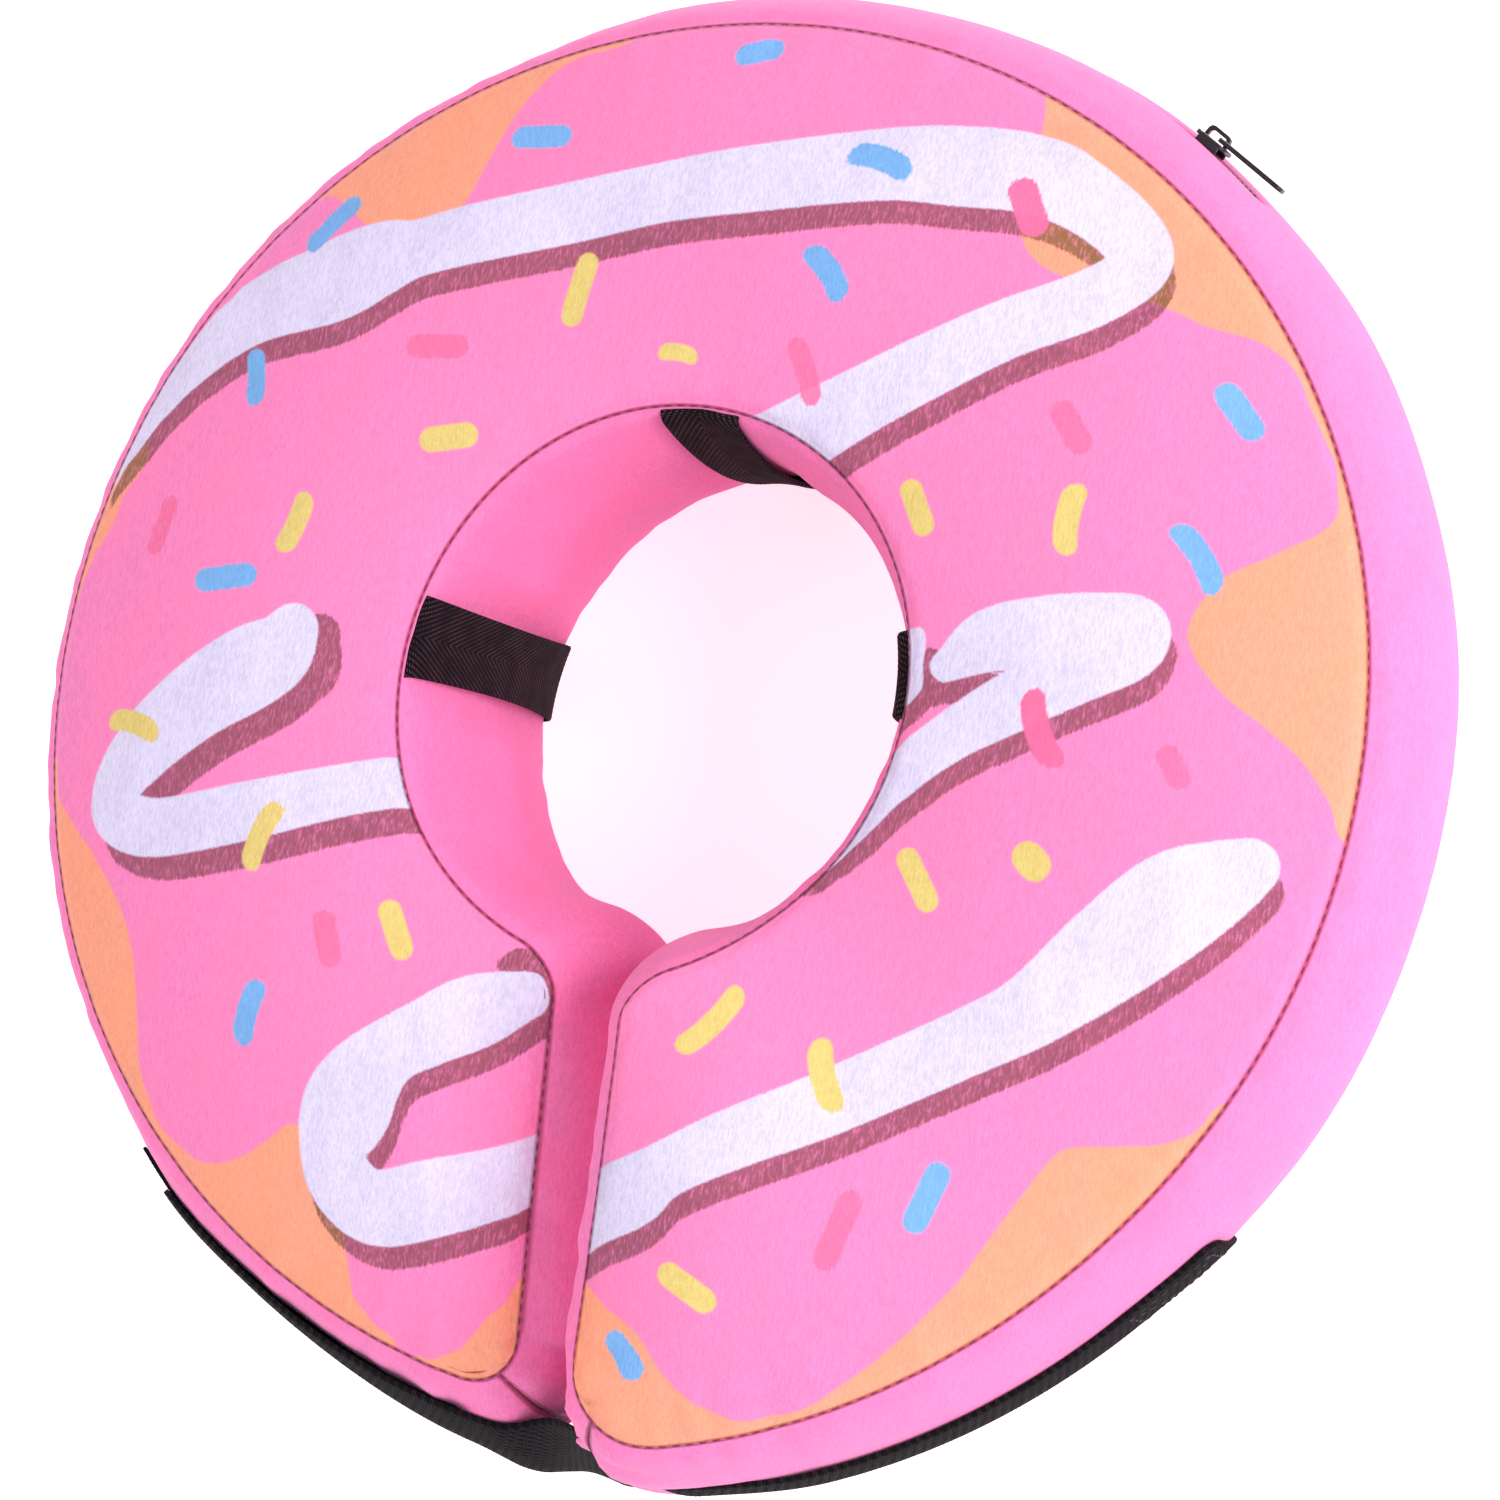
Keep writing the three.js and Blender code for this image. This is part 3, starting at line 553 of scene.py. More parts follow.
def newMesh(name, points, faces, smoothFaces=True):
    mesh = bpy.data.meshes.new(name)
    mesh.from_pydata(points.tolist(), [], [list(map(int, f)) for f in faces])
    mesh.update()
    if smoothFaces:
        mesh.polygons.foreach_set("use_smooth", [True] * len(mesh.polygons))
    made = bpy.data.objects.new(name, mesh)
    bpy.context.scene.collection.objects.link(made)
    return made


def gridFaces(rows, columns, flip=False, start=0):
    index = start + np.arange(rows * columns).reshape(rows, columns)
    faces = np.stack([index[:-1, :-1], index[1:, :-1], index[1:, 1:], index[:-1, 1:]], axis=-1).reshape(-1, 4)
    return faces[:, ::-1] if flip else faces


def clothSheet(name, grid, distance, flip, gap=None):
    faces = gridFaces(*grid.shape[:2], flip)
    if gap is not None:
        faces = faces[~gap.ravel()]
    made = newMesh(name, toMetres(grid), faces)
    addNumbers(made.data, "toSeam", distance)
    wall = made.modifiers.new("wall", "SOLIDIFY")
    wall.thickness = cloth["wall"] * mm
    wall.offset = -1
    return made


def addNumbers(mesh, name, values):
    layer = mesh.attributes.new(name, "FLOAT", "POINT")
    layer.data.foreach_set("value", np.asarray(values, np.float32).ravel())


def addColours(mesh, name, values):
    layer = mesh.attributes.new(name, "FLOAT_COLOR", "POINT")
    layer.data.foreach_set("color", np.asarray(values, np.float32).ravel())


def addUv(mesh, uv):
    layer = mesh.uv_layers.new(name="weave")
    corners = np.zeros(len(mesh.loops), np.int32)
    mesh.loops.foreach_get("vertex_index", corners)
    layer.data.foreach_set("uv", np.asarray(uv, np.float32)[corners].ravel())


# A closed strip: a fine top skin with relief and a plain underside of a few columns.
def closedStrip(name, top, bottom, uvTop, uvBottom):
    rows, columns = top.shape[:2]
    under = bottom.shape[1]
    points = np.concatenate([top.reshape(-1, 3), bottom.reshape(-1, 3)])
    upper = np.arange(rows * columns).reshape(rows, columns)
    lower = rows * columns + np.arange(rows * under).reshape(rows, under)
    faces = gridFaces(rows, columns).tolist()
    faces += gridFaces(rows, under, True, rows * columns).tolist()
    for r in range(rows - 1):
        faces.append([upper[r, 0], lower[r, 0], lower[r + 1, 0], upper[r + 1, 0]])
        faces.append([upper[r, -1], upper[r + 1, -1], lower[r + 1, -1], lower[r, -1]])
    faces.append([*upper[0], *lower[0][::-1]])
    faces.append([*upper[-1][::-1], *lower[-1]])
    made = newMesh(name, toMetres(points), faces)
    made.data.set_sharp_from_angle(angle=math.radians(50))
    addUv(made.data, np.concatenate([uvTop.reshape(-1, 2), uvBottom.reshape(-1, 2)]))
    return made


# Printed icing

artwork = {
    "drizzles": {
        "top": [
            (-158, 33, 1), (-152, 45, 3), (-147, 55, 5), (-138, 67, 7), (-124, 79, 9), (-104, 88, 11),
            (-93, 94, 9.8), (-84, 97.6, 7.5), (-70, 103, 7.6), (-46, 111, 7.8), (-23, 119, 7.6),
            (-2, 125, 8.4), (29, 133, 9.2),
            (46, 135, 10), (64, 135.5, 9.6), (78, 131, 8.2), (89, 124, 7.4), (92, 117, 7), (83, 108, 7.2),
            (66, 98, 7.2), (50, 87, 7.6), (34, 76, 8), (18, 65, 9), (5, 55, 10),
        ],
        "left": [
            (-95, 3, 6.5), (-98, -3, 9), (-105, -8, 10.5), (-117, -17, 10), (-129, -29, 9), (-136, -40, 7.2),
            (-134, -47, 7.4), (-122, -48.5, 7), (-98, -41, 7), (-74, -32, 6.2), (-50, -24, 6),
        ],
        "right": [
            (66, 19, 3.8), (75, 26, 7.2), (87, 30, 8), (100, 33, 8), (109, 34, 7.6), (108, 29, 7.4),
            (97, 22, 7.4), (82, 12, 7), (70, 3, 6), (58, -8, 6), (48, -17, 8), (40, -24, 9),
        ],
        "slitLeft": [
            (-24, -72, 5.5), (-35, -78, 8.6), (-45, -85, 8), (-53, -91, 7.8), (-58.5, -98, 9.6),
            (-62, -106, 11.2), (-65, -115, 8.4), (-61, -124, 9), (-52, -128, 9),
            (-38, -123, 9), (-23, -116, 8), (-8, -108, 8),
        ],
        "slitRight": [
            (143, -14.5, 6.4), (137, -19, 9), (128, -26, 11.6), (116, -39, 11), (101, -55, 8.4), (89, -64, 7.7),
            (73, -75, 7.6), (57, -86, 7.4), (41, -96, 6.9), (26, -106, 6.6), (18.6, -112.2, 8.3),
            (9, -117.5, 8.6), (-4, -126, 9),
        ],
    },
    # how far each drizzle's shadow lies from it
    "shadowShift": {
        "top": (1.8, -5.6), "left": (5.0, -4.9), "right": (2.2, -4.8),
        "slitLeft": (2.2, -5.0), "slitRight": (1.6, -5.4),
    },
    "shadowTails": [
        [(-30, -66, 2), (-25, -64.5, 4), (-20, -69, 5)], [(-55, -114.3, 2.4), (-52.8, -113.6, 2.4)],
        [(-88, 3, 5), (-86.5, -6, 5), (-89, -13, 2)], [(12, -119, 8), (4, -124, 9)],
        [(62, 20.5, 2.2), (62.5, 16, 2.4), (60, 10, 3.8), (50, 3, 4.4)],
        [(60, 12, 4.2), (68, 14.4, 3.3), (76, 17.6, 0.8)],
    ],
    "drizzlePatches": [
        [(45, 25), (54, 26), (59, 26.5), (60.5, 18), (60.5, 12), (54, 7.5), (45, 5)],
    ],
    "dough": {
        "topLeft": [
            (-44, 159), (-56, 151), (-63, 144), (-68, 134), (-71, 122), (-75, 108), (-86, 98), (-97, 101),
            (-104, 105), (-112, 109), (-121, 110), (-130, 125), (-90, 158), (-52, 178),
        ],
        "right": [
            (58, 168), (60, 156), (62, 145), (62, 131), (64, 121), (69, 115), (78, 112), (93, 110), (103, 108),
            (110, 106), (120, 105), (126, 103), (133, 98), (137, 91), (142, 84), (145, 80), (146, 75), (147, 68),
            (144, 63), (139, 59), (134, 55), (127, 50), (123, 44), (121, 39), (121, 34), (125, 28), (132, 22),
            (141, 17), (150, 11), (157, 3), (162, -5), (180, -8), (190, 80), (140, 150), (70, 180),
        ],
        "bottomRight": [
            (145, -69), (140, -76), (132, -80), (123, -82), (114, -84), (110, -87), (105, -96), (99, -108),
            (93, -120), (86, -130), (78, -140), (69, -149), (62, -155), (52, -159), (45, -159), (38, -157),
            (31, -152), (24, -144), (16, -140), (11, -137), (4, -136), (-6, -150), (0, -185), (80, -190),
            (160, -115), (160, -70),
        ],
        "left": [
            (-162, -36), (-156, -45), (-151, -49), (-143, -55), (-135, -63), (-129, -71), (-125, -81),
            (-122, -98), (-121, -105), (-117, -113), (-112, -120), (-104, -124), (-98, -125), (-89, -122),
            (-81, -116), (-74, -112), (-64, -124), (-59, -142), (-57, -150), (-53, -154), (-46, -162),
            (-60, -185), (-150, -150), (-190, -60),
        ],
        "slitCorner": [(-10, -134), (-20, -145), (-26, -152), (-30, -158), (-42, -164), (-30, -180), (0, -170)],
        "leftStrip": [(-148, 42), (-152, 30), (-155, 20), (-159, 12), (-164, 2), (-180, 5), (-170, 50)],
    },
    # colour, both ends, how far the middle bends to its left, half its width
    "sprinkles": [
        ("blue", (-16, 154), (-5, 159), 0, 2.9), ("blue", (-67, 128), (-51, 130), 0, 2.9),
        ("blue", (19, 134), (35, 131), 1.6, 3.1), ("blue", (-115, 95), (-104, 109), 0, 2.6),
        ("blue", (-122, 69), (-118, 55), 0.6, 2.6), ("blue", (15, 110), (26, 99), 1.4, 2.9),
        ("blue", (116, 93), (127, 82), 0, 3.0), ("blue", (113, 59), (125, 45), 1.6, 2.8),
        ("blue", (-124, 11), (-107, 15), 0, 2.9), ("blue", (-88, -80), (-91, -96), -1, 2.9),
        ("blue", (87, -93), (82, -110), 0, 2.9), ("blue", (17, -145), (26, -154), 0, 2.9),
        ("yellow", (-38, 102), (-40, 84), 0, 2.7), ("yellow", (-17, 81), (-7, 81), 0.8, 2.0),
        ("yellow", (-72, 52), (-58, 56), 0, 3.0), ("yellow", (-98, 36), (-102, 21), 0.8, 2.7),
        ("yellow", (49, 60), (56, 48), 0, 2.8), ("yellow", (90, 65), (90, 48), -1.2, 2.9),
        ("yellow", (-142, -25), (-126, -27), 1.4, 2.7), ("yellow", (-90, -38), (-95, -55), -1.3, 2.7),
        ("yellow", (-60, -56), (-53, -69), 0, 2.8), ("yellow", (64, -24), (74, -37), 0, 2.8),
        ("yellow", (91, -19), (99, -25), 0, 3.8), ("yellow", (35, -62), (24, -79), 1.5, 2.7),
        ("yellow", (55, -70), (62, -86), -1.2, 2.9), ("yellow", (28, -128), (42, -135), 0, 3.0),
        ("faint", (-80, 74), (-64, 76), 0, 2.9), ("pink", (60, 134), (68, 121), 0, 3.4),
        ("faint", (16, 89), (23, 74), 0.8, 2.5), ("faint", (81, 83), (90, 72), 0, 2.9),
        ("pink", (88, 17), (97, 0), -1.8, 3.1), ("faint", (120, 9), (126, 0), 0, 2.7),
        ("faint", (-75, -61), (-70, -74), 0, 2.8), ("faint", (-136, 31), (-139, 16), 0, 2.5),
        ("faint", (69, -103), (64, -122), 0, 2.7),
    ],
}


def splined(points, closed, steps=6):
    table = np.array(points, float)
    ends = (table[-1:], table[:2]) if closed else (2 * table[:1] - table[1:2], 2 * table[-1:] - table[-2:-1])
    full = np.concatenate([ends[0], table, ends[1]])
    t = np.linspace(0, 1, steps, endpoint=False)[:, None]
    parts = []
    for k in range(1, len(full) - 2):
        a, b, c, d = full[k - 1:k + 3]
        parts.append(0.5 * (2 * b + (c - a) * t + (2 * a - 5 * b + 4 * c - d) * t ** 2
                            + (3 * b - a - 3 * c + d) * t ** 3))
    return np.concatenate(parts + ([] if closed else [table[-1:]]))


# Distance to the nearest stretch of a line, and how far along that stretch it is.
def toSegments(points, a, b):
    ab = b - a
    ap = points[:, None, :] - a[None]
    share = np.clip((ap * ab).sum(-1) / np.maximum((ab * ab).sum(-1), 1e-9), 0, 1)
    away = np.linalg.norm(ap - ab[None] * share[..., None], axis=-1)
    return away, share


def strokeDistance(points, stroke):
    line = splined(stroke, False)
    a, b = line[:-1], line[1:]
    away, share = toSegments(points, a[:, :2], b[:, :2])
    return (away - lerp(a[:, 2], b[:, 2], share)).min(axis=1)


def patchDistance(points, outline):
    line = splined(outline, True)
    a, b = line, np.roll(line, -1, axis=0)
    away, _ = toSegments(points, a, b)
    x, y = points[:, :1], points[:, 1:]
    crosses = (a[:, 1] > y) != (b[:, 1] > y)
    rise = np.where(b[:, 1] == a[:, 1], 1e-9, b[:, 1] - a[:, 1])
    at = a[:, 0] + (y - a[:, 1]) * (b[:, 0] - a[:, 0]) / rise
    inside = (crosses & (x < at)).sum(axis=1) % 2 == 1
    return np.where(inside, -1, 1) * away.min(axis=1)


def sprinkleDistance(points, first, last, bend, half):
    first, last = np.array(first, float), np.array(last, float)
    length = np.linalg.norm(last - first)
    along = (last - first) / length
    side = np.array([-along[1], along[0]])
    middle = (first + last) / 2
    x = (points - middle) @ along
    straight = length / 2 - half
    y = (points - middle) @ side - bend * (1 - (x / (length / 2)) ** 2)
    return np.hypot(np.maximum(np.abs(x) - straight, 0), y) - half


def inBatches(points, measure, size=6000):
    return np.concatenate([measure(points[k:k + size]) for k in range(0, len(points), size)])


sprinkleColours = {
    "blue": (0.19, 0.41, 0.78, 1.0),
    "yellow": (0.74, 0.56, 0.19, 1.0),
    "pink": (0.86, 0.15, 0.33, 0.97),
    "faint": (0.93, 0.17, 0.36, 0.9),
}


def chartPrint(mesh, plan):
    points = plan.reshape(-1, 3)[:, :2]
    far = np.full(len(points), 60.0)
    drizzle, shadow, dough, sprinkle = far.copy(), far.copy(), far.copy(), far.copy()
    for name, stroke in artwork["drizzles"].items():
        drizzle = np.minimum(drizzle, inBatches(points, lambda p: strokeDistance(p, stroke)))
        shifted = points - np.array(artwork["shadowShift"][name])
        shadow = np.minimum(shadow, inBatches(shifted, lambda p: strokeDistance(p, stroke)))
    for outline in artwork["drizzlePatches"]:
        drizzle = np.minimum(drizzle, inBatches(points, lambda p: patchDistance(p, outline)))
    for stroke in artwork["shadowTails"]:
        shadow = np.minimum(shadow, inBatches(points, lambda p: strokeDistance(p, stroke)))
    for outline in artwork["dough"].values():
        dough = np.minimum(dough, inBatches(points, lambda p: patchDistance(p, outline)))
    tint = np.zeros((len(points), 4))
    for colour, first, last, bend, half in artwork["sprinkles"]:
        away = sprinkleDistance(points, first, last, bend, half)
        nearer = away < sprinkle
        sprinkle = np.where(nearer, away, sprinkle)
        tint[nearer] = sprinkleColours[colour]
    addNumbers(mesh, "drizzleEdge", drizzle)
    addNumbers(mesh, "shadowEdge", shadow)
    addNumbers(mesh, "doughEdge", dough)
    addNumbers(mesh, "sprinkleEdge", sprinkle)
    addColours(mesh, "sprinkleTint", tint)


# Node helpers for materials

def addNode(tree, kind, settings=None, inputs=None):
    made = tree.nodes.new(kind)
    for name, value in (settings or {}).items():
        setattr(made, name, value)
    for name, value in (inputs or {}).items():
        if isinstance(value, bpy.types.NodeSocket):
            tree.links.new(value, made.inputs[name])
        else:
            made.inputs[name].default_value = value
    return made


def calculate(tree, operation, a, b=None):
    inputs = {0: a} if b is None else {0: a, 1: b}
    return addNode(tree, "ShaderNodeMath", {"operation": operation}, inputs).outputs[0]


def added(tree, a, b):
    return calculate(tree, "ADD", a, b)


def scaled(tree, a, b):
    return calculate(tree, "MULTIPLY", a, b)


def centred(tree, a):
    return calculate(tree, "SUBTRACT", a, 0.5)


def mixColours(tree, share, a, b, blend="MIX"):
    node = addNode(tree, "ShaderNodeMix", {"data_type": "RGBA", "blend_type": blend}, {0: share, 6: a, 7: b})
    return node.outputs[2]


def stepped(tree, value, low, high, outLow=0.0, outHigh=1.0):
    node = addNode(tree, "ShaderNodeMapRange", {"interpolation_type": "SMOOTHSTEP"},
                   {"Value": value, "From Min": low, "From Max": high, "To Min": outLow, "To Max": outHigh})
    return node.outputs[0]


def scaledNoise(tree, source, scale, detail=2.0, roughness=0.5):
    mapping = addNode(tree, "ShaderNodeMapping", None, {"Vector": source, "Scale": scale})
    inputs = {"Vector": mapping.outputs[0], "Scale": 1.0, "Detail": detail, "Roughness": roughness}
    return addNode(tree, "ShaderNodeTexNoise", None, inputs).outputs[0]


def newMaterial(name):
    made = bpy.data.materials.new(name)
    made.use_nodes = True
    tree = made.node_tree
    shader = tree.nodes["Principled BSDF"]
    return made, tree, shader


def objectPlace(tree):
    return addNode(tree, "ShaderNodeTexCoord").outputs["Object"]


def readNumber(tree, name):
    return addNode(tree, "ShaderNodeAttribute", {"attribute_name": name}).outputs["Fac"]


# Short plush: a pile that lies one way in streaks, brushed a little lighter and darker in places.
plush = {
    "streaks": (1700, 430, 800),
    "fibres": (3400, 1300, 2400),
    "brushed": (75, 34, 55),
    "bump": 0.35,
    "bumpHeight": 0.0007,
    "sheen": 0.35,
}

# maroon multiplied in along the seams: the seam's own dark line and painted shade in its crease
seamLineAndShadeTint = (0.42, 0.19, 0.25, 1)
icingPink = (0.95, 0.246, 0.54, 1)
icingWarm = (0.95, 0.222, 0.46, 1)
bandPink = (0.95, 0.235, 0.53, 1)
bandWarm = (0.94, 0.205, 0.46, 1)
doughTan = (0.96, 0.365, 0.25, 1)
doughWarm = (0.95, 0.33, 0.205, 1)
drizzleWhite = (0.715, 0.64, 0.865, 1)
drizzleShade = (0.69, 0.605, 0.84, 1)
shadowOnIcing = (0.35, 0.092, 0.155, 1)
shadowOnDough = (0.31, 0.135, 0.065, 1)


def plushNoise(tree):
    place = objectPlace(tree)
    streak = scaledNoise(tree, place, plush["streaks"], 3.0, 0.6)
    fibre = scaledNoise(tree, place, plush["fibres"], 2.0, 0.6)
    brushed = scaledNoise(tree, place, plush["brushed"], 3.0, 0.55)
    return streak, fibre, brushed


def finishPlush(tree, shader, colour, streak, fibre, brushed):
    # Near a seam the colour is darkened towards maroon: partly the seam's own dark line, partly painted shade in
    # the crease.
    seamLineAndShade = stepped(tree, readNumber(tree, "toSeam"), 0.25, 1.0, 0.8, 0.0)
    colour = mixColours(tree, seamLineAndShade, colour, mixColours(tree, 1.0, colour, seamLineAndShadeTint, "MULTIPLY"))
    fine = added(tree, scaled(tree, streak, 0.6), scaled(tree, fibre, 0.4))
    shade = added(tree, stepped(tree, fine, 0.3, 0.7, 0.87, 1.09), stepped(tree, brushed, 0.3, 0.7, -0.05, 0.05))
    grey = addNode(tree, "ShaderNodeCombineColor", None, {0: shade, 1: shade, 2: shade}).outputs[0]
    tree.links.new(mixColours(tree, 1.0, colour, grey, "MULTIPLY"), shader.inputs["Base Color"])
    bump = addNode(tree, "ShaderNodeBump", None,
                   {"Height": fine, "Strength": plush["bump"], "Distance": plush["bumpHeight"]})
    tree.links.new(bump.outputs[0], shader.inputs["Normal"])
    shader.inputs["Roughness"].default_value = 0.92
    shader.inputs["Specular IOR Level"].default_value = 0.15
    shader.inputs["Sheen Weight"].default_value = plush["sheen"]
    shader.inputs["Sheen Roughness"].default_value = 0.35
    shader.inputs["Sheen Tint"].default_value = (1.0, 0.62, 0.86, 1)


def plainPlush():
    made, tree, shader = newMaterial("plainPinkPlush")
    streak, fibre, brushed = plushNoise(tree)
    colour = mixColours(tree, stepped(tree, brushed, 0.35, 0.65), bandPink, bandWarm)
    finishPlush(tree, shader, colour, streak, fibre, brushed)
    return made


def printedPlush():
    made, tree, shader = newMaterial("printedIcingPlush")
    streak, fibre, brushed = plushNoise(tree)
    ragged = added(tree, centred(tree, streak), scaled(tree, centred(tree, fibre), 0.7))

    def within(name, soft):
        edge = added(tree, readNumber(tree, name), ragged)
        return stepped(tree, edge, soft, -soft)

    icing = mixColours(tree, stepped(tree, brushed, 0.3, 0.7), icingPink, icingWarm)
    dough = mixColours(tree, stepped(tree, brushed, 0.3, 0.7), doughTan, doughWarm)
    base = mixColours(tree, within("doughEdge", 0.45), icing, dough)
    darker = mixColours(tree, within("doughEdge", 0.45), shadowOnIcing, shadowOnDough)
    flecked = mixColours(tree, stepped(tree, streak, 0.45, 0.75, 0.0, 0.42), darker, icing)
    base = mixColours(tree, within("shadowEdge", 0.4), base, flecked)
    white = mixColours(tree, stepped(tree, streak, 0.25, 0.6), drizzleShade, drizzleWhite)
    base = mixColours(tree, within("drizzleEdge", 0.35), base, white)
    tint = addNode(tree, "ShaderNodeAttribute", {"attribute_name": "sprinkleTint"})
    strength = scaled(tree, within("sprinkleEdge", 0.4), tint.outputs["Alpha"])
    base = mixColours(tree, strength, base, tint.outputs["Color"])
    finishPlush(tree, shader, base, streak, fibre, brushed)
    return made


threadPitch = 0.62


# Woven tape: slanted ribs, as a chevron about the tape's middle or as plain twill. Each rib is a row of short
# threads.
# The rib crests and threads take the lighter colour as a painted highlight.
def webbingMaterial(name, dark, light, pitch, slant, chevron):
    made, tree, shader = newMaterial(name)
    uv = addNode(tree, "ShaderNodeUVMap", {"uv_map": "weave"}).outputs[0]
    parts = addNode(tree, "ShaderNodeSeparateXYZ", None, {0: uv})
    across = calculate(tree, "ABSOLUTE", parts.outputs[0]) if chevron else parts.outputs[0]
    turn = math.radians(slant)
    count = added(tree, scaled(tree, parts.outputs[1], math.sin(turn) / (pitch * mm)),
                  scaled(tree, across, math.cos(turn) / (pitch * mm)))
    rib = calculate(tree, "ABSOLUTE", calculate(tree, "SINE", scaled(tree, count, math.pi)))
    step = scaled(tree, parts.outputs[1], 2 * math.pi / (threadPitch * mm))
    thread = calculate(tree, "SINE", added(tree, step, scaled(tree, count, 2.2)))
    fuzz = scaledNoise(tree, uv, (2600, 2600, 1), 2.0)
    worn = scaledNoise(tree, uv, (130, 110, 1), 2.0)
    lit = added(tree, scaled(tree, rib, 0.75), scaled(tree, thread, 0.2))
    lit = added(tree, lit, scaled(tree, centred(tree, fuzz), 0.5))
    # The lighter colour is a painted highlight on the rib crests and threads, weaker in patches where the worn
    # noise is low.
    share = scaled(tree, stepped(tree, lit, 0.55, 0.95), stepped(tree, worn, 0.35, 0.6, 0.35, 1.0))
    tree.links.new(mixColours(tree, share, dark, light), shader.inputs["Base Color"])
    bump = addNode(tree, "ShaderNodeBump", None, {"Height": lit, "Strength": 0.8, "Distance": 0.0004})
    tree.links.new(bump.outputs[0], shader.inputs["Normal"])
    shader.inputs["Roughness"].default_value = 0.8
    shader.inputs["Specular IOR Level"].default_value = 0.12
    return made


def threadMaterial():
    made, tree, shader = newMaterial("seamThread")
    noise = scaledNoise(tree, objectPlace(tree), (900, 900, 900), 1.0)
    colour = mixColours(tree, noise, (0.10, 0.012, 0.04, 1), (0.22, 0.03, 0.09, 1))
    tree.links.new(colour, shader.inputs["Base Color"])
    shader.inputs["Roughness"].default_value = 0.6
    return made


def enamelMaterial():
    made, tree, shader = newMaterial("blackZipEnamel")
    worn = addNode(tree, "ShaderNodeNewGeometry").outputs["Pointiness"]
    scratches = scaledNoise(tree, objectPlace(tree), (900, 300, 900), 3.0)
    edge = added(tree, worn, scaled(tree, centred(tree, scratches), 0.12))
    bare = stepped(tree, edge, 0.56, 0.66)
    colour = mixColours(tree, bare, (0.008, 0.006, 0.009, 1), (0.6, 0.58, 0.58, 1))
    tree.links.new(colour, shader.inputs["Base Color"])
    tree.links.new(bare, shader.inputs["Metallic"])
    tree.links.new(stepped(tree, scratches, 0.3, 0.7, 0.25, 0.4), shader.inputs["Roughness"])
    return made


def plainMaterial(name, colour, roughness):
    made, tree, shader = newMaterial(name)
    grain = scaledNoise(tree, objectPlace(tree), (1400, 1400, 1400), 2.0)
    lighter = tuple(min(1, c * 1.7) for c in colour[:3]) + (1,)
    tree.links.new(mixColours(tree, grain, colour, lighter), shader.inputs["Base Color"])
    shader.inputs["Roughness"].default_value = roughness
    return made


def setMaterial(made, material):
    made.data.materials.clear()
    made.data.materials.append(material)


# Cover

def makeCover():
    printed = printedPlush()
    plain = plainPlush()
    frontGrid, plan, distance = facePanel(True, cloth["rows"], cloth["faceColumns"])
    front = clothSheet("frontPanel", frontGrid, distance, True)
    chartPrint(front.data, plan)
    print("print charted on", len(front.data.vertices), "points")
    backGrid, _, distance = facePanel(False, int(cloth["rows"] * 0.6), cloth["backColumns"])
    back = clothSheet("backPanel", backGrid, distance, False)
    outerGrid, distance, gap = outerBandGrid()
    outer = clothSheet("outerBand", outerGrid, distance, False, gap)
    innerGrid, distance = innerBandGrid()
    inner = clothSheet("innerBand", innerGrid, distance, True)
    for made, node, slot, material in (
        (front, "front_panel", "printed_plush", printed), (back, "back_panel", "plain_plush", plain),
        (outer, "outer_band", "plain_plush", plain), (inner, "inner_band", "plain_plush", plain),
    ):
        setMaterial(made, material)
        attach(made, "cover")
        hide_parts(node)


makeCover()
print("cover made")


# Loops

def loopGrid(angle, width, columns, rows, depth):
    half = math.degrees(width / 2 / (ring["neckRadius"] - ring["neckBulge"]))
    a = np.linspace(angle - half, angle + half, columns)[None, :] * np.ones((rows, 1))
    w = np.linspace(-1, 1, rows)[:, None] * np.ones((1, columns))
    share = ((a % 360) - neckStart) / (neckStop - neckStart)
    edge = edgeShares(share)[0]
    plan = planPoint(share, edge)
    hole = -toward(a)
    front = seamHeight(share, edge, True)
    back = seamHeight(share, edge, False)
    z = lerp(back, front, (w + 1) / 2)
    base = np.concatenate([plan + hole * (loop["bulge"] * (1 - w * w))[..., None], z[..., None]], axis=-1)
    out = loop["clearance"] + loop["slack"] * (1 - w * w) + depth
    distance = (1 - np.abs(w)) * (front - back) / 2
    sink = cloth["seamSink"] * np.exp(-((distance / cloth["seamSpread"]) ** 2)) + np.clip(1.5 - distance, 0, 1.5)
    inward = unit(core(share) - base)
    lift = np.concatenate([hole * out[..., None], np.zeros(z.shape + (1,))], axis=-1)
    return base + lift + inward * sink[..., None], (a - angle) / half * width / 2, w * (front - back) / 2


def chevron(s, t):
    turn = math.radians(loop["ribAngle"])
    phase = (t * math.sin(turn) + np.abs(s) * math.cos(turn)) / loop["ribPitch"]
    return np.abs(np.sin(math.pi * phase)) ** 0.7


def makeLoops():
    webbing = webbingMaterial("chevronWebbing", (0.006, 0.003, 0.005, 1), (0.085, 0.05, 0.065, 1),
                              loop["ribPitch"], loop["ribAngle"], True)
    rows = int(2 * ring["neckHalfHeight"] / loop["grid"])
    for name, (node, angle, width, _) in loop["places"].items():
        columns = int(width / loop["grid"])
        _, s, t = loopGrid(angle, width, columns, rows, 0.0)
        relief = loop["thickness"] - loop["ribHeight"] * (1 - chevron(s, t))
        edge = np.clip((width / 2 - np.abs(s)) / 0.6, 0, 1)
        relief = relief - 0.35 * (1 - edge) ** 2
        top, s, t = loopGrid(angle, width, columns, rows, relief)
        bottom, sb, tb = loopGrid(angle, width, 5, rows, 0.0)
        made = closedStrip(name, top, bottom, np.stack([s, t], -1) * mm, np.stack([sb, tb], -1) * mm)
        setMaterial(made, webbing)
        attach(made, "cover")
        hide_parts(node)


makeLoops()
print("loops made")


# Closure strap and patch

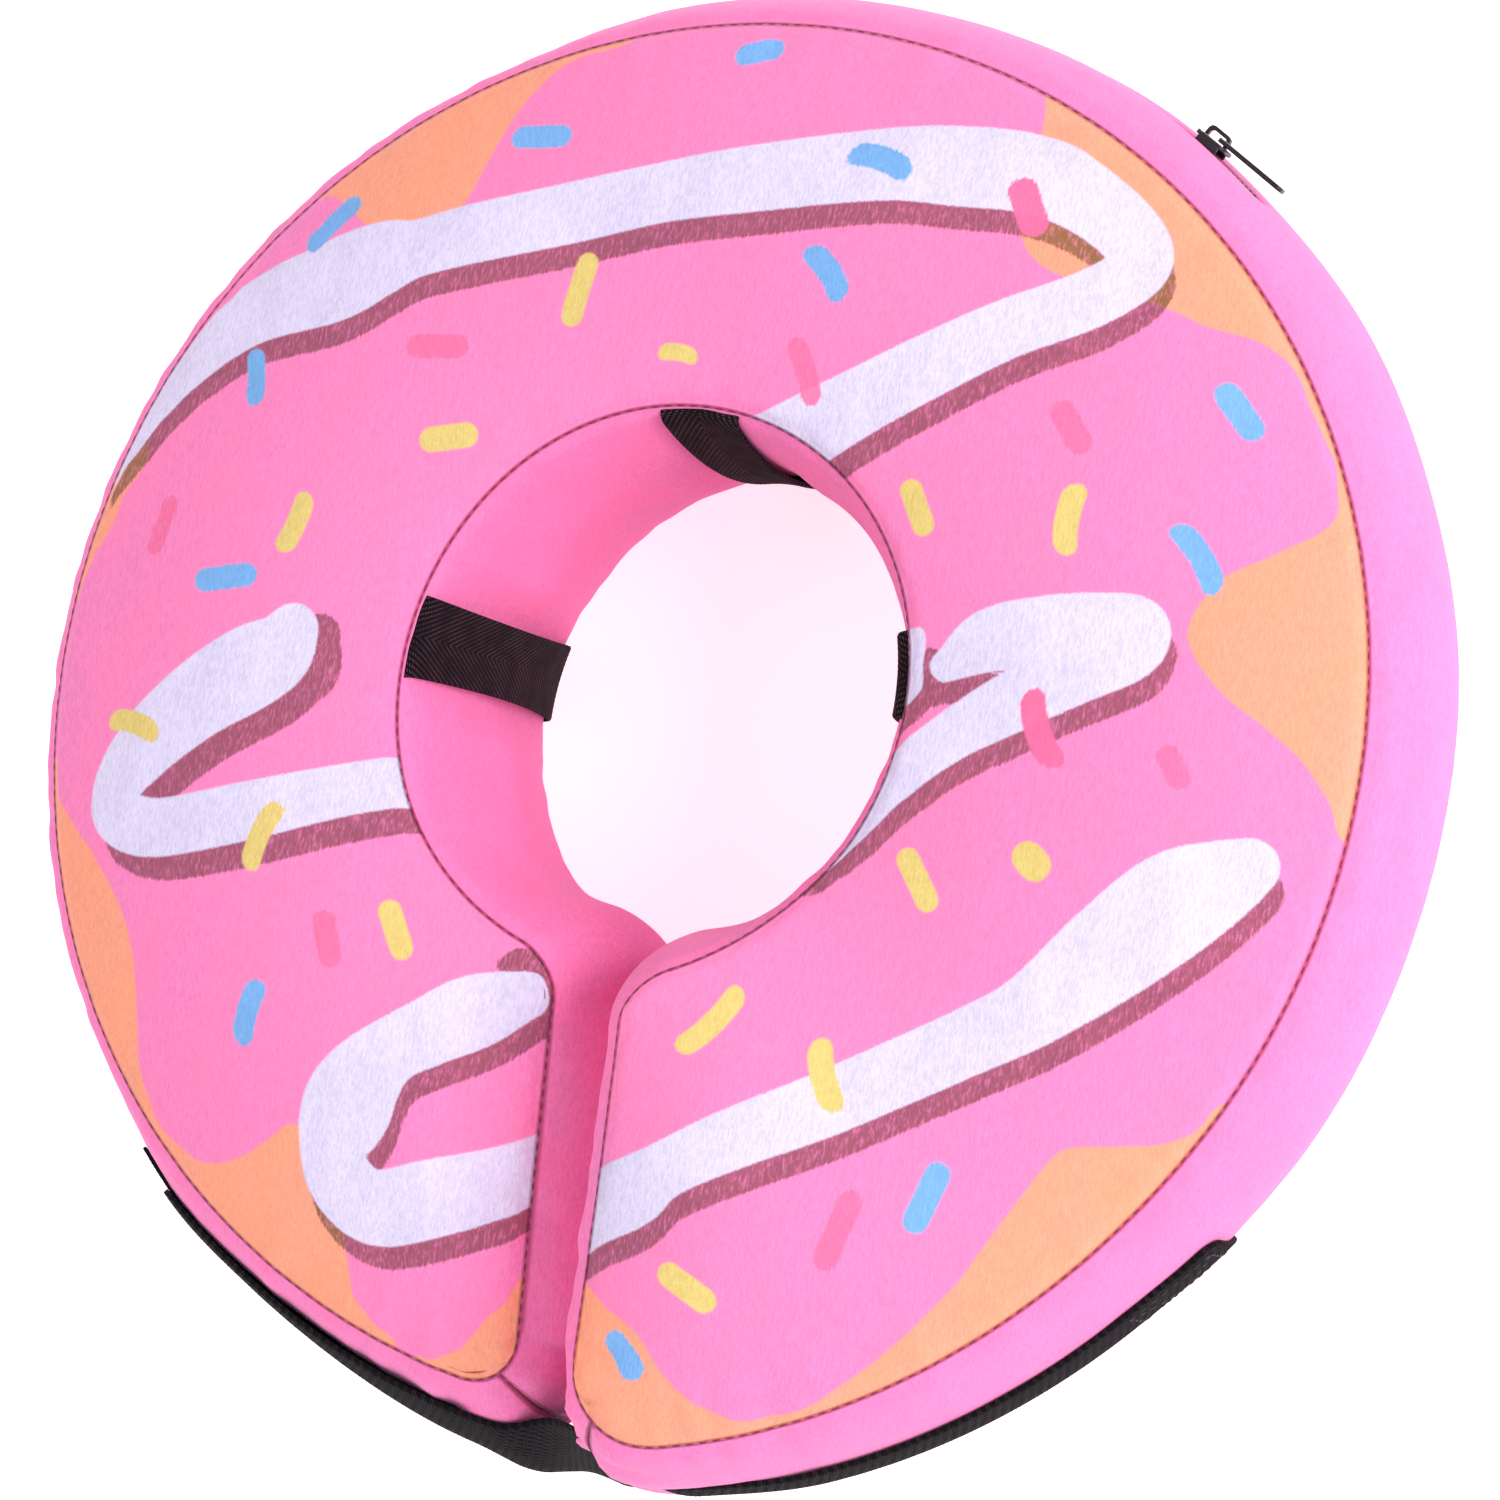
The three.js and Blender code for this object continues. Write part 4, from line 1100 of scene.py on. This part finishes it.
def strapGrid(columns, rows, depth, width, left, right, riseLeft, riseRight, base, corner, lean):
    length = math.radians(right - left) * ring["outerRadius"]
    turns = np.linspace(0, math.pi / 2, 8)
    ends = corner * (1 - np.cos(turns)) / length
    share = np.concatenate([ends, np.linspace(ends[-1], 1 - ends[-1], rows)[1:-1], 1 - ends[::-1]])
    angle = lerp(left, right, share)
    half = width / 2 - cornerInset(corner, np.minimum(share, 1 - share) * length)
    rise = lerp(riseLeft, riseRight, smooth(share))
    s = np.linspace(-1, 1, columns)
    heights = rise[:, None] + half[:, None] * s
    out = base(angle)[:, None] + depth(share * length, half[:, None] * s)
    out = out + lean(angle)[:, None] * (half[:, None] * (1 - s)) / width
    points = overBand(angle[:, None] * np.ones(columns), heights, out)
    return points, half[:, None] * s, (share * length)[:, None] * np.ones(columns)


def strapBase(angle):
    overPatch = patch["thickness"] + strap["clearance"] / 2
    onPatch = smooth((slitRight - angle) / (slitRight - patch["right"]))
    sewnDown = smooth((angle - strap["right"] + strap["sewn"]) / 3)
    sunk = stretch(angle, *strap["pressed"]) + stretch(angle, *strap["dip"])
    return strap["clearance"] * (1 - 0.8 * sewnDown) + overPatch * onPatch - sunk


# Where nothing is behind it, at the slit, the strap dips in at its front edge, so its face turns upwards.
def strapLean(angle):
    return stretch(angle, *strap["leftLean"]) + stretch(angle, *strap["slitLean"])


def strapRelief(along, across):
    along = along[:, None]
    ribs = np.abs(np.sin(math.pi * across / strap["ribPitch"]))
    row = np.floor(across / strap["ribPitch"])
    weave = np.abs(np.sin(math.pi * along / strap["weavePitch"] + row * math.pi / 2))
    edge = np.clip((strap["width"] / 2 - np.abs(across)) / 0.7, 0, 1)
    return strap["thickness"] - strap["ribHeight"] * (1 - ribs * (0.6 + 0.4 * weave)) - 0.4 * (1 - edge) ** 2


def strapStrip(name, columns, rows, relief, shape):
    top, s, t = strapGrid(columns, rows, relief, **shape)
    bottom, sb, tb = strapGrid(6, rows, lambda along, across: 0 * across, **shape)
    return closedStrip(name, top, bottom, np.stack([s, t], -1) * mm, np.stack([sb, tb], -1) * mm)


def makeStrap():
    hook = webbingMaterial("hookTape", (0.003, 0.0015, 0.003, 1), (0.034, 0.02, 0.029, 1),
                           strap["ribPitch"], 40, False)
    shape = dict(width=strap["width"], left=strap["left"], right=strap["right"], riseLeft=strap["riseLeft"],
                 riseRight=strap["riseRight"], base=strapBase, corner=strap["corner"], lean=strapLean)
    made = strapStrip("closureStrap", 84, 520, strapRelief, shape)
    setMaterial(made, hook)
    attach(made, "cover")
    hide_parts("closure_strap")


def makePatch():
    nap = webbingMaterial("loopTape", (0.005, 0.003, 0.005, 1), (0.016, 0.01, 0.015, 1), 1.1, 70, False)
    scatter = np.random.default_rng(5)

    def relief(along, across):
        rough = scatter.uniform(-0.12, 0.12, np.broadcast_shapes(along[:, None].shape, across.shape))
        return patch["thickness"] - 0.12 + rough

    shape = dict(width=patch["width"], left=patch["left"], right=patch["right"], riseLeft=patch["rise"],
                 riseRight=patch["rise"], base=lambda angle: strap["clearance"] + 0 * angle, corner=1.0,
                 lean=lambda angle: 0 * angle)
    made = strapStrip("loopPatch", 60, 200, relief, shape)
    setMaterial(made, nap)
    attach(made, "cover")
    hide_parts("loop_patch")


makeStrap()
makePatch()
print("strap and patch made")


# The stitched box that holds the strap's right end: its outline with one diagonal, and the other diagonal.
def strapBox(steps=24):
    low, high = strap["right"] - strap["sewn"], strap["right"] - stitch["boxEndInset"]
    reach = strap["width"] / 2 - stitch["boxInset"]
    corners = [(low, -reach), (high, -reach), (high, reach), (low, reach), (low, -reach), (high, reach)]
    angle, across = [], []
    for (a0, s0), (a1, s1) in [(corners[k], corners[k + 1]) for k in range(5)] + [(corners[3], corners[1])]:
        share = np.linspace(0, 1, steps, endpoint=False)
        angle.append(lerp(a0, a1, share))
        across.append(lerp(s0, s1, share))
    angle, across = np.concatenate(angle), np.concatenate(across)
    share = (angle - strap["left"]) / (strap["right"] - strap["left"])
    rise = lerp(strap["riseLeft"], strap["riseRight"], smooth(share)) + across
    line = overBand(angle, rise, strapBase(angle) + strap["thickness"] - 0.05)
    return line[:5 * steps], line[5 * steps:]


# Seam stitches

def seamLine(points, share):
    inward = unit(core(share) - points)
    return points + inward * (cloth["seamSink"] + 0.02)


def faceSeam(front):
    shares = ringShares(cloth["rows"])
    ends = np.linspace(0, 1, 60)[1:-1]
    share = np.concatenate([shares, np.ones(len(ends)), shares[::-1], np.zeros(len(ends))])
    v = np.concatenate([np.ones(len(shares)), ends[::-1], np.zeros(len(shares)), ends])
    points, _, _ = facePoints(share, v, front)
    return seamLine(points, share)


def cornerSeam(left):
    share = 1 - cornerSeamShare(ring["leftCorner"]) if left else cornerSeamShare(ring["rightCorner"])
    shares = np.full(30, share)
    across = edgeShares(shares)[1]
    w = np.linspace(-0.96, 0.96, 30)
    plan = planPoint(shares, across)
    around = np.array([share - 0.001, share + 0.001])
    step = np.diff(planPoint(around, edgeShares(around)[1]), axis=0)[0]
    normal = np.array([step[1], -step[0]]) / np.linalg.norm(step)
    line = crossing(shares)
    nearCorner = smooth(line["fromEndOuter"] / outerCorner(shares))
    swell = lerp(ring["endBulge"], bandBulge(line["outerAngle"]), nearCorner)
    flat = plan + normal * (swell * (1 - w * w))[:, None]
    flat[:, 0] = keptApart(flat[:, 0], flat[:, 1], shares, w)
    z = lerp(seamHeight(shares, across, False), seamHeight(shares, across, True), (w + 1) / 2)
    points = np.concatenate([flat, np.maximum(z, 0)[:, None]], axis=-1)
    return seamLine(points, shares)


def lineObject(name, lines):
    points, edges = [], []
    for line, closed in lines:
        start = len(points)
        points += toMetres(line).tolist()
        count = len(line)
        edges += [(start + k, start + k + 1) for k in range(count - 1)]
        if closed:
            edges.append((start + count - 1, start))
    mesh = bpy.data.meshes.new(name)
    mesh.from_pydata(points, edges, [])
    made = bpy.data.objects.new(name, mesh)
    bpy.context.scene.collection.objects.link(made)
    return made


def newTree(name, inputs):
    tree = bpy.data.node_groups.new(name, "GeometryNodeTree")
    tree.interface.new_socket("Geometry", in_out="INPUT", socket_type="NodeSocketGeometry")
    for label, kind in inputs.items():
        tree.interface.new_socket(label, in_out="INPUT", socket_type=kind)
    tree.interface.new_socket("Geometry", in_out="OUTPUT", socket_type="NodeSocketGeometry")
    source = tree.nodes.new("NodeGroupInput")
    target = tree.nodes.new("NodeGroupOutput")
    return tree, source.outputs, target.inputs[0]


def runTree(made, tree, values):
    modifier = made.modifiers.new(tree.name, "NODES")
    modifier.node_group = tree
    for item in tree.interface.items_tree:
        if item.in_out == "INPUT" and item.name in values:
            modifier[item.identifier] = values[item.name]
    bpy.context.view_layer.update()
    evaluated = made.evaluated_get(bpy.context.evaluated_depsgraph_get())
    mesh = bpy.data.meshes.new_from_object(evaluated)
    made.modifiers.remove(modifier)
    old = made.data
    made.data = mesh
    bpy.data.meshes.remove(old)
    return made


# Beads along lines: stitches and zip teeth. The bead's size is given as three radii.
def beadTree(name, segments, rings):
    tree, given, result = newTree(name, {
        "Pitch": "NodeSocketFloat", "Bead": "NodeSocketVector", "Material": "NodeSocketMaterial",
    })
    curve = addNode(tree, "GeometryNodeMeshToCurve", None, {"Mesh": given["Geometry"]})
    spaced = addNode(tree, "GeometryNodeResampleCurve", {"mode": "LENGTH"},
                     {"Curve": curve.outputs[0], "Length": given["Pitch"]})
    tangent = addNode(tree, "GeometryNodeInputTangent")
    along = addNode(tree, "FunctionNodeAlignRotationToVector", {"axis": "X"}, {"Vector": tangent.outputs[0]})
    bead = addNode(tree, "GeometryNodeMeshUVSphere", None, {"Segments": segments, "Rings": rings, "Radius": 1.0})
    shaped = addNode(tree, "GeometryNodeTransform", None, {"Geometry": bead.outputs[0], "Scale": given["Bead"]})
    placed = addNode(tree, "GeometryNodeInstanceOnPoints", None,
                     {"Points": spaced.outputs[0], "Instance": shaped.outputs[0], "Rotation": along.outputs[0]})
    real = addNode(tree, "GeometryNodeRealizeInstances", None, {"Geometry": placed.outputs[0]})
    soft = addNode(tree, "GeometryNodeSetShadeSmooth", None, {"Geometry": real.outputs[0]})
    painted = addNode(tree, "GeometryNodeSetMaterial", None,
                      {"Geometry": soft.outputs[0], "Material": given["Material"]})
    tree.links.new(painted.outputs[0], result)
    return tree


def stitched(name, lines, tree, radius, material):
    made = lineObject(name, lines)
    bead = (stitch["length"] / 2 * mm, radius * mm, radius * mm)
    return runTree(made, tree, {"Pitch": stitch["pitch"] * mm, "Bead": bead, "Material": material})


def makeStitches():
    tree = beadTree("seamStitches", 6, 4)
    lines = [(faceSeam(front), True) for front in (True, False)]
    lines += [(cornerSeam(left), False) for left in (False, True)]
    made = stitched("seamStitches", lines, tree, stitch["radius"], threadMaterial())
    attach(made, "cover")
    thread = plainMaterial("blackThread", (0.012, 0.008, 0.011, 1), 0.6)
    sewn = stitched("strapStitches", [(line, False) for line in strapBox()], tree, stitch["boxRadius"], thread)
    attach(sewn, "cover")


makeStitches()
print("stitches made")


# Zip

def ribbon(name, left, right, rise, width, depth, rows, columns):
    share = np.linspace(0, 1, rows)
    angle = lerp(right, left, share)[:, None] * np.ones(columns)
    s = np.linspace(-width / 2, width / 2, columns)[None, :] * np.ones((rows, 1))
    t = share[:, None] * math.radians(left - right) * ring["outerRadius"] * np.ones(columns)

    def sheetAt(out, count):
        picked = np.linspace(0, columns - 1, count).astype(int)
        return (overBand(angle[:, picked], rise + s[:, picked], np.full((rows, count), out)),
                np.stack([s[:, picked], t[:, picked]], -1) * mm)

    top, uvTop = sheetAt(-depth, columns)
    bottom, uvBottom = sheetAt(-depth - zipper["tapeThickness"], 4)
    return closedStrip(name, top, bottom, uvTop, uvBottom)


def makeZip():
    tape = ribbon("zipTape", zipper["left"] + zipper["tapeOver"], zipper["right"] - zipper["tapeOver"],
                  zipper["rise"], zipper["tapeWidth"], zipper["tapeDepth"], rows=300, columns=40)
    woven = webbingMaterial("zipTape", (0.006, 0.004, 0.006, 1), (0.03, 0.02, 0.027, 1), 0.9, 20, True)
    setMaterial(tape, woven)
    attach(tape, "cover")
    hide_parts("zip_tape")
    first, last = zipper["right"] + zipper["coilInset"], zipper["left"] - zipper["coilInset"]
    lines = []
    for side in (-1, 1):
        shift = side * zipper["toothPitch"] / 4 / bandPerDegree
        angle = np.linspace(first + shift, last + shift, 260)
        rise = np.full(260, zipper["rise"] + side * zipper["toothAside"])
        lines.append((overBand(angle, rise, np.full(260, -zipper["coilDepth"])), False))
    teeth = lineObject("zipTeeth", lines)
    runTree(teeth, beadTree("zipTeeth", 10, 6), {
        "Pitch": zipper["toothPitch"] * mm, "Bead": tuple(radius * mm for radius in zipper["tooth"]),
        "Material": plainMaterial("zipCoil", (0.012, 0.01, 0.012, 1), 0.4),
    })
    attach(teeth, "cover")
    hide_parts("zip_coil")


# A flat plate with rounded edges: a filled curve with its holes, given a thickness.
def plate(name, outlines, low, high, edge):
    curve = bpy.data.curves.new(name, "CURVE")
    curve.dimensions = "2D"
    curve.fill_mode = "BOTH"
    curve.extrude = (high - low) / 2 * mm - edge * mm
    curve.bevel_depth = edge * mm
    curve.bevel_resolution = 3
    curve.offset = -edge * mm
    for outline in outlines:
        spline = curve.splines.new("POLY")
        spline.points.add(len(outline) - 1)
        for k, (x, y) in enumerate(outline):
            spline.points[k].co = (x * mm, y * mm, 0, 1)
        spline.use_cyclic_u = True
    holder = bpy.data.objects.new(name, curve)
    bpy.context.scene.collection.objects.link(holder)
    bpy.context.view_layer.update()
    mesh = bpy.data.meshes.new_from_object(holder.evaluated_get(bpy.context.evaluated_depsgraph_get()))
    bpy.data.objects.remove(holder)
    mesh.transform(Matrix.Translation((0, 0, (low + high) / 2 * mm)))
    return mesh


def roundedBox(x0, x1, y0, y1, corner, steps=8):
    outline = []
    for cx, cy, first in ((x1, y1, 0), (x0, y1, 90), (x0, y0, 180), (x1, y0, 270)):
        for k in range(steps + 1):
            turn = math.radians(first + 90 * k / steps)
            inX = cx - math.copysign(corner, cx - (x0 + x1) / 2)
            inY = cy - math.copysign(corner, cy - (y0 + y1) / 2)
            outline.append((inX + corner * math.cos(turn), inY + corner * math.sin(turn)))
    return outline


def joined(name, meshes, place):
    points, faces = [], []
    for mesh in meshes:
        start = len(points)
        points += [place @ v.co for v in mesh.vertices]
        faces += [[start + k for k in f.vertices] for f in mesh.polygons]
    made = newMesh(name, np.array([list(v) for v in points]), faces)
    made.data.set_sharp_from_angle(angle=math.radians(35))
    return made


def makeHardware():
    enamel = enamelMaterial()
    origin = Vector((hardwarePlace + ringShift) * mm)
    axes = Matrix((Vector(hardwareX), Vector(hardwareY), Vector(hardwareZ))).transposed().to_4x4()
    place = Matrix.Translation(origin) @ axes
    half = slider["length"] / 2
    low = slider["clearance"]
    high = low + slider["plate"]
    side = slider["width"] / 2
    body = [plate("sliderPlate", [roundedBox(-half, half, -side, side, slider["corner"])], low, high, 0.3)]
    for y in (-side + slider["flange"] / 2, side - slider["flange"] / 2):
        run = slider["flangeLength"] / 2
        flange = roundedBox(-run, run, y - slider["flange"] / 2, y + slider["flange"] / 2, 0.35)
        body.append(plate("sliderFlange", [flange], low - 1.3, low + 0.4, 0.15))
    # The bridge is a bent bar over the pin, drawn as its side outline.
    run = slider["bridgeLength"] / 2
    bar = slider["bridgeBar"]
    top = low + slider["plate"] + slider["clearance"] * 2 + pull["pin"] + bar
    outer = [(-run, high - 0.2), (-run, top - 1.2), (-run + 0.4, top - 0.35), (-run + 1.3, top),
             (run - 1.3, top), (run - 0.4, top - 0.35), (run, top - 1.2), (run, high - 0.2)]
    inner = [(run - bar, high - 0.2), (run - bar, top - bar - 0.5), (run - bar - 0.5, top - bar),
             (-run + bar + 0.5, top - bar), (-run + bar, top - bar - 0.5), (-run + bar, high - 0.2)]
    bridge = plate("sliderBridge", [outer + inner], -slider["bridgeWidth"] / 2, slider["bridgeWidth"] / 2, 0.22)
    bridge.transform(Matrix.Rotation(math.radians(90), 4, "X"))
    body.append(bridge)
    made = joined("zipSlider", body, place)
    setMaterial(made, enamel)
    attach(made, "cover")
    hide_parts("zip_slider")

    half = pull["thickness"] / 2
    side = pull["width"] / 2
    gap = side - pull["arm"] - 0.25
    far = pull["length"]
    tip = far - pull["slotMargin"]
    outline = roundedBox(-pull["behind"], far, -side, side, pull["corner"])
    eye = roundedBox(-0.05, pull["eye"], -gap, gap, 1.0)
    window = roundedBox(tip - pull["slotLength"], tip, -pull["slotWidth"] / 2, pull["slotWidth"] / 2, 0.95)
    parts = [plate("pullPlate", [outline, eye, window], pinHeight - half, pinHeight + half, 0.28)]
    pin = plate("pullPin", [roundedBox(-0.6, 0.6, -0.6, 0.6, 0.59)], -gap - 0.4, gap + 0.4, 0.05)
    pin.transform(Matrix.Translation((0, 0, pinHeight * mm)) @ Matrix.Rotation(math.radians(90), 4, "X"))
    parts.append(pin)
    shifted = place @ Matrix.Translation((pull["pinOffset"] * mm, 0, 0))
    made = joined("zipPull", parts, shifted)
    setMaterial(made, enamel)
    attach(made, "pull")
    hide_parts("zip_pull")


makeZip()
makeHardware()
print("zip made")


# Floor and light

def makeStage():
    corners = [[-6, -6, -0.0005], [6, -6, -0.0005], [6, 6, -0.0005], [-6, 6, -0.0005]]
    floor = newMesh("floor", np.array(corners), [[0, 1, 2, 3]], False)
    paper, _, shader = newMaterial("palePaper")
    shader.inputs["Base Color"].default_value = (0.93, 0.93, 0.93, 1)
    shader.inputs["Roughness"].default_value = 0.8
    shader.inputs["Emission Color"].default_value = (1, 1, 1, 1)
    shader.inputs["Emission Strength"].default_value = 0.58
    setMaterial(floor, paper)
    world = bpy.data.worlds.new("studio")
    world.use_nodes = True
    world.node_tree.nodes["Background"].inputs[0].default_value = (1, 1, 1, 1)
    world.node_tree.nodes["Background"].inputs[1].default_value = 0.74
    bpy.context.scene.world = world
    bpy.context.scene.view_settings.view_transform = "Standard"


def areaLight(name, place, size, power):
    made = bpy.data.lights.new(name, "AREA")
    made.shape = "SQUARE"
    made.size = size
    made.energy = power
    holder = bpy.data.objects.new(name, made)
    holder.location = place
    aim = Vector((0, 0, 0.05)) - Vector(place)
    holder.rotation_mode = "QUATERNION"
    holder.rotation_quaternion = aim.to_track_quat("-Z", "Y")
    bpy.context.scene.collection.objects.link(holder)


makeStage()
areaLight("mainLight", (1.75, 0.2, 1.35), 1.2, 38)
areaLight("fillLight", (-1.3, -0.5, 1.4), 1.4, 7)
print("lit")
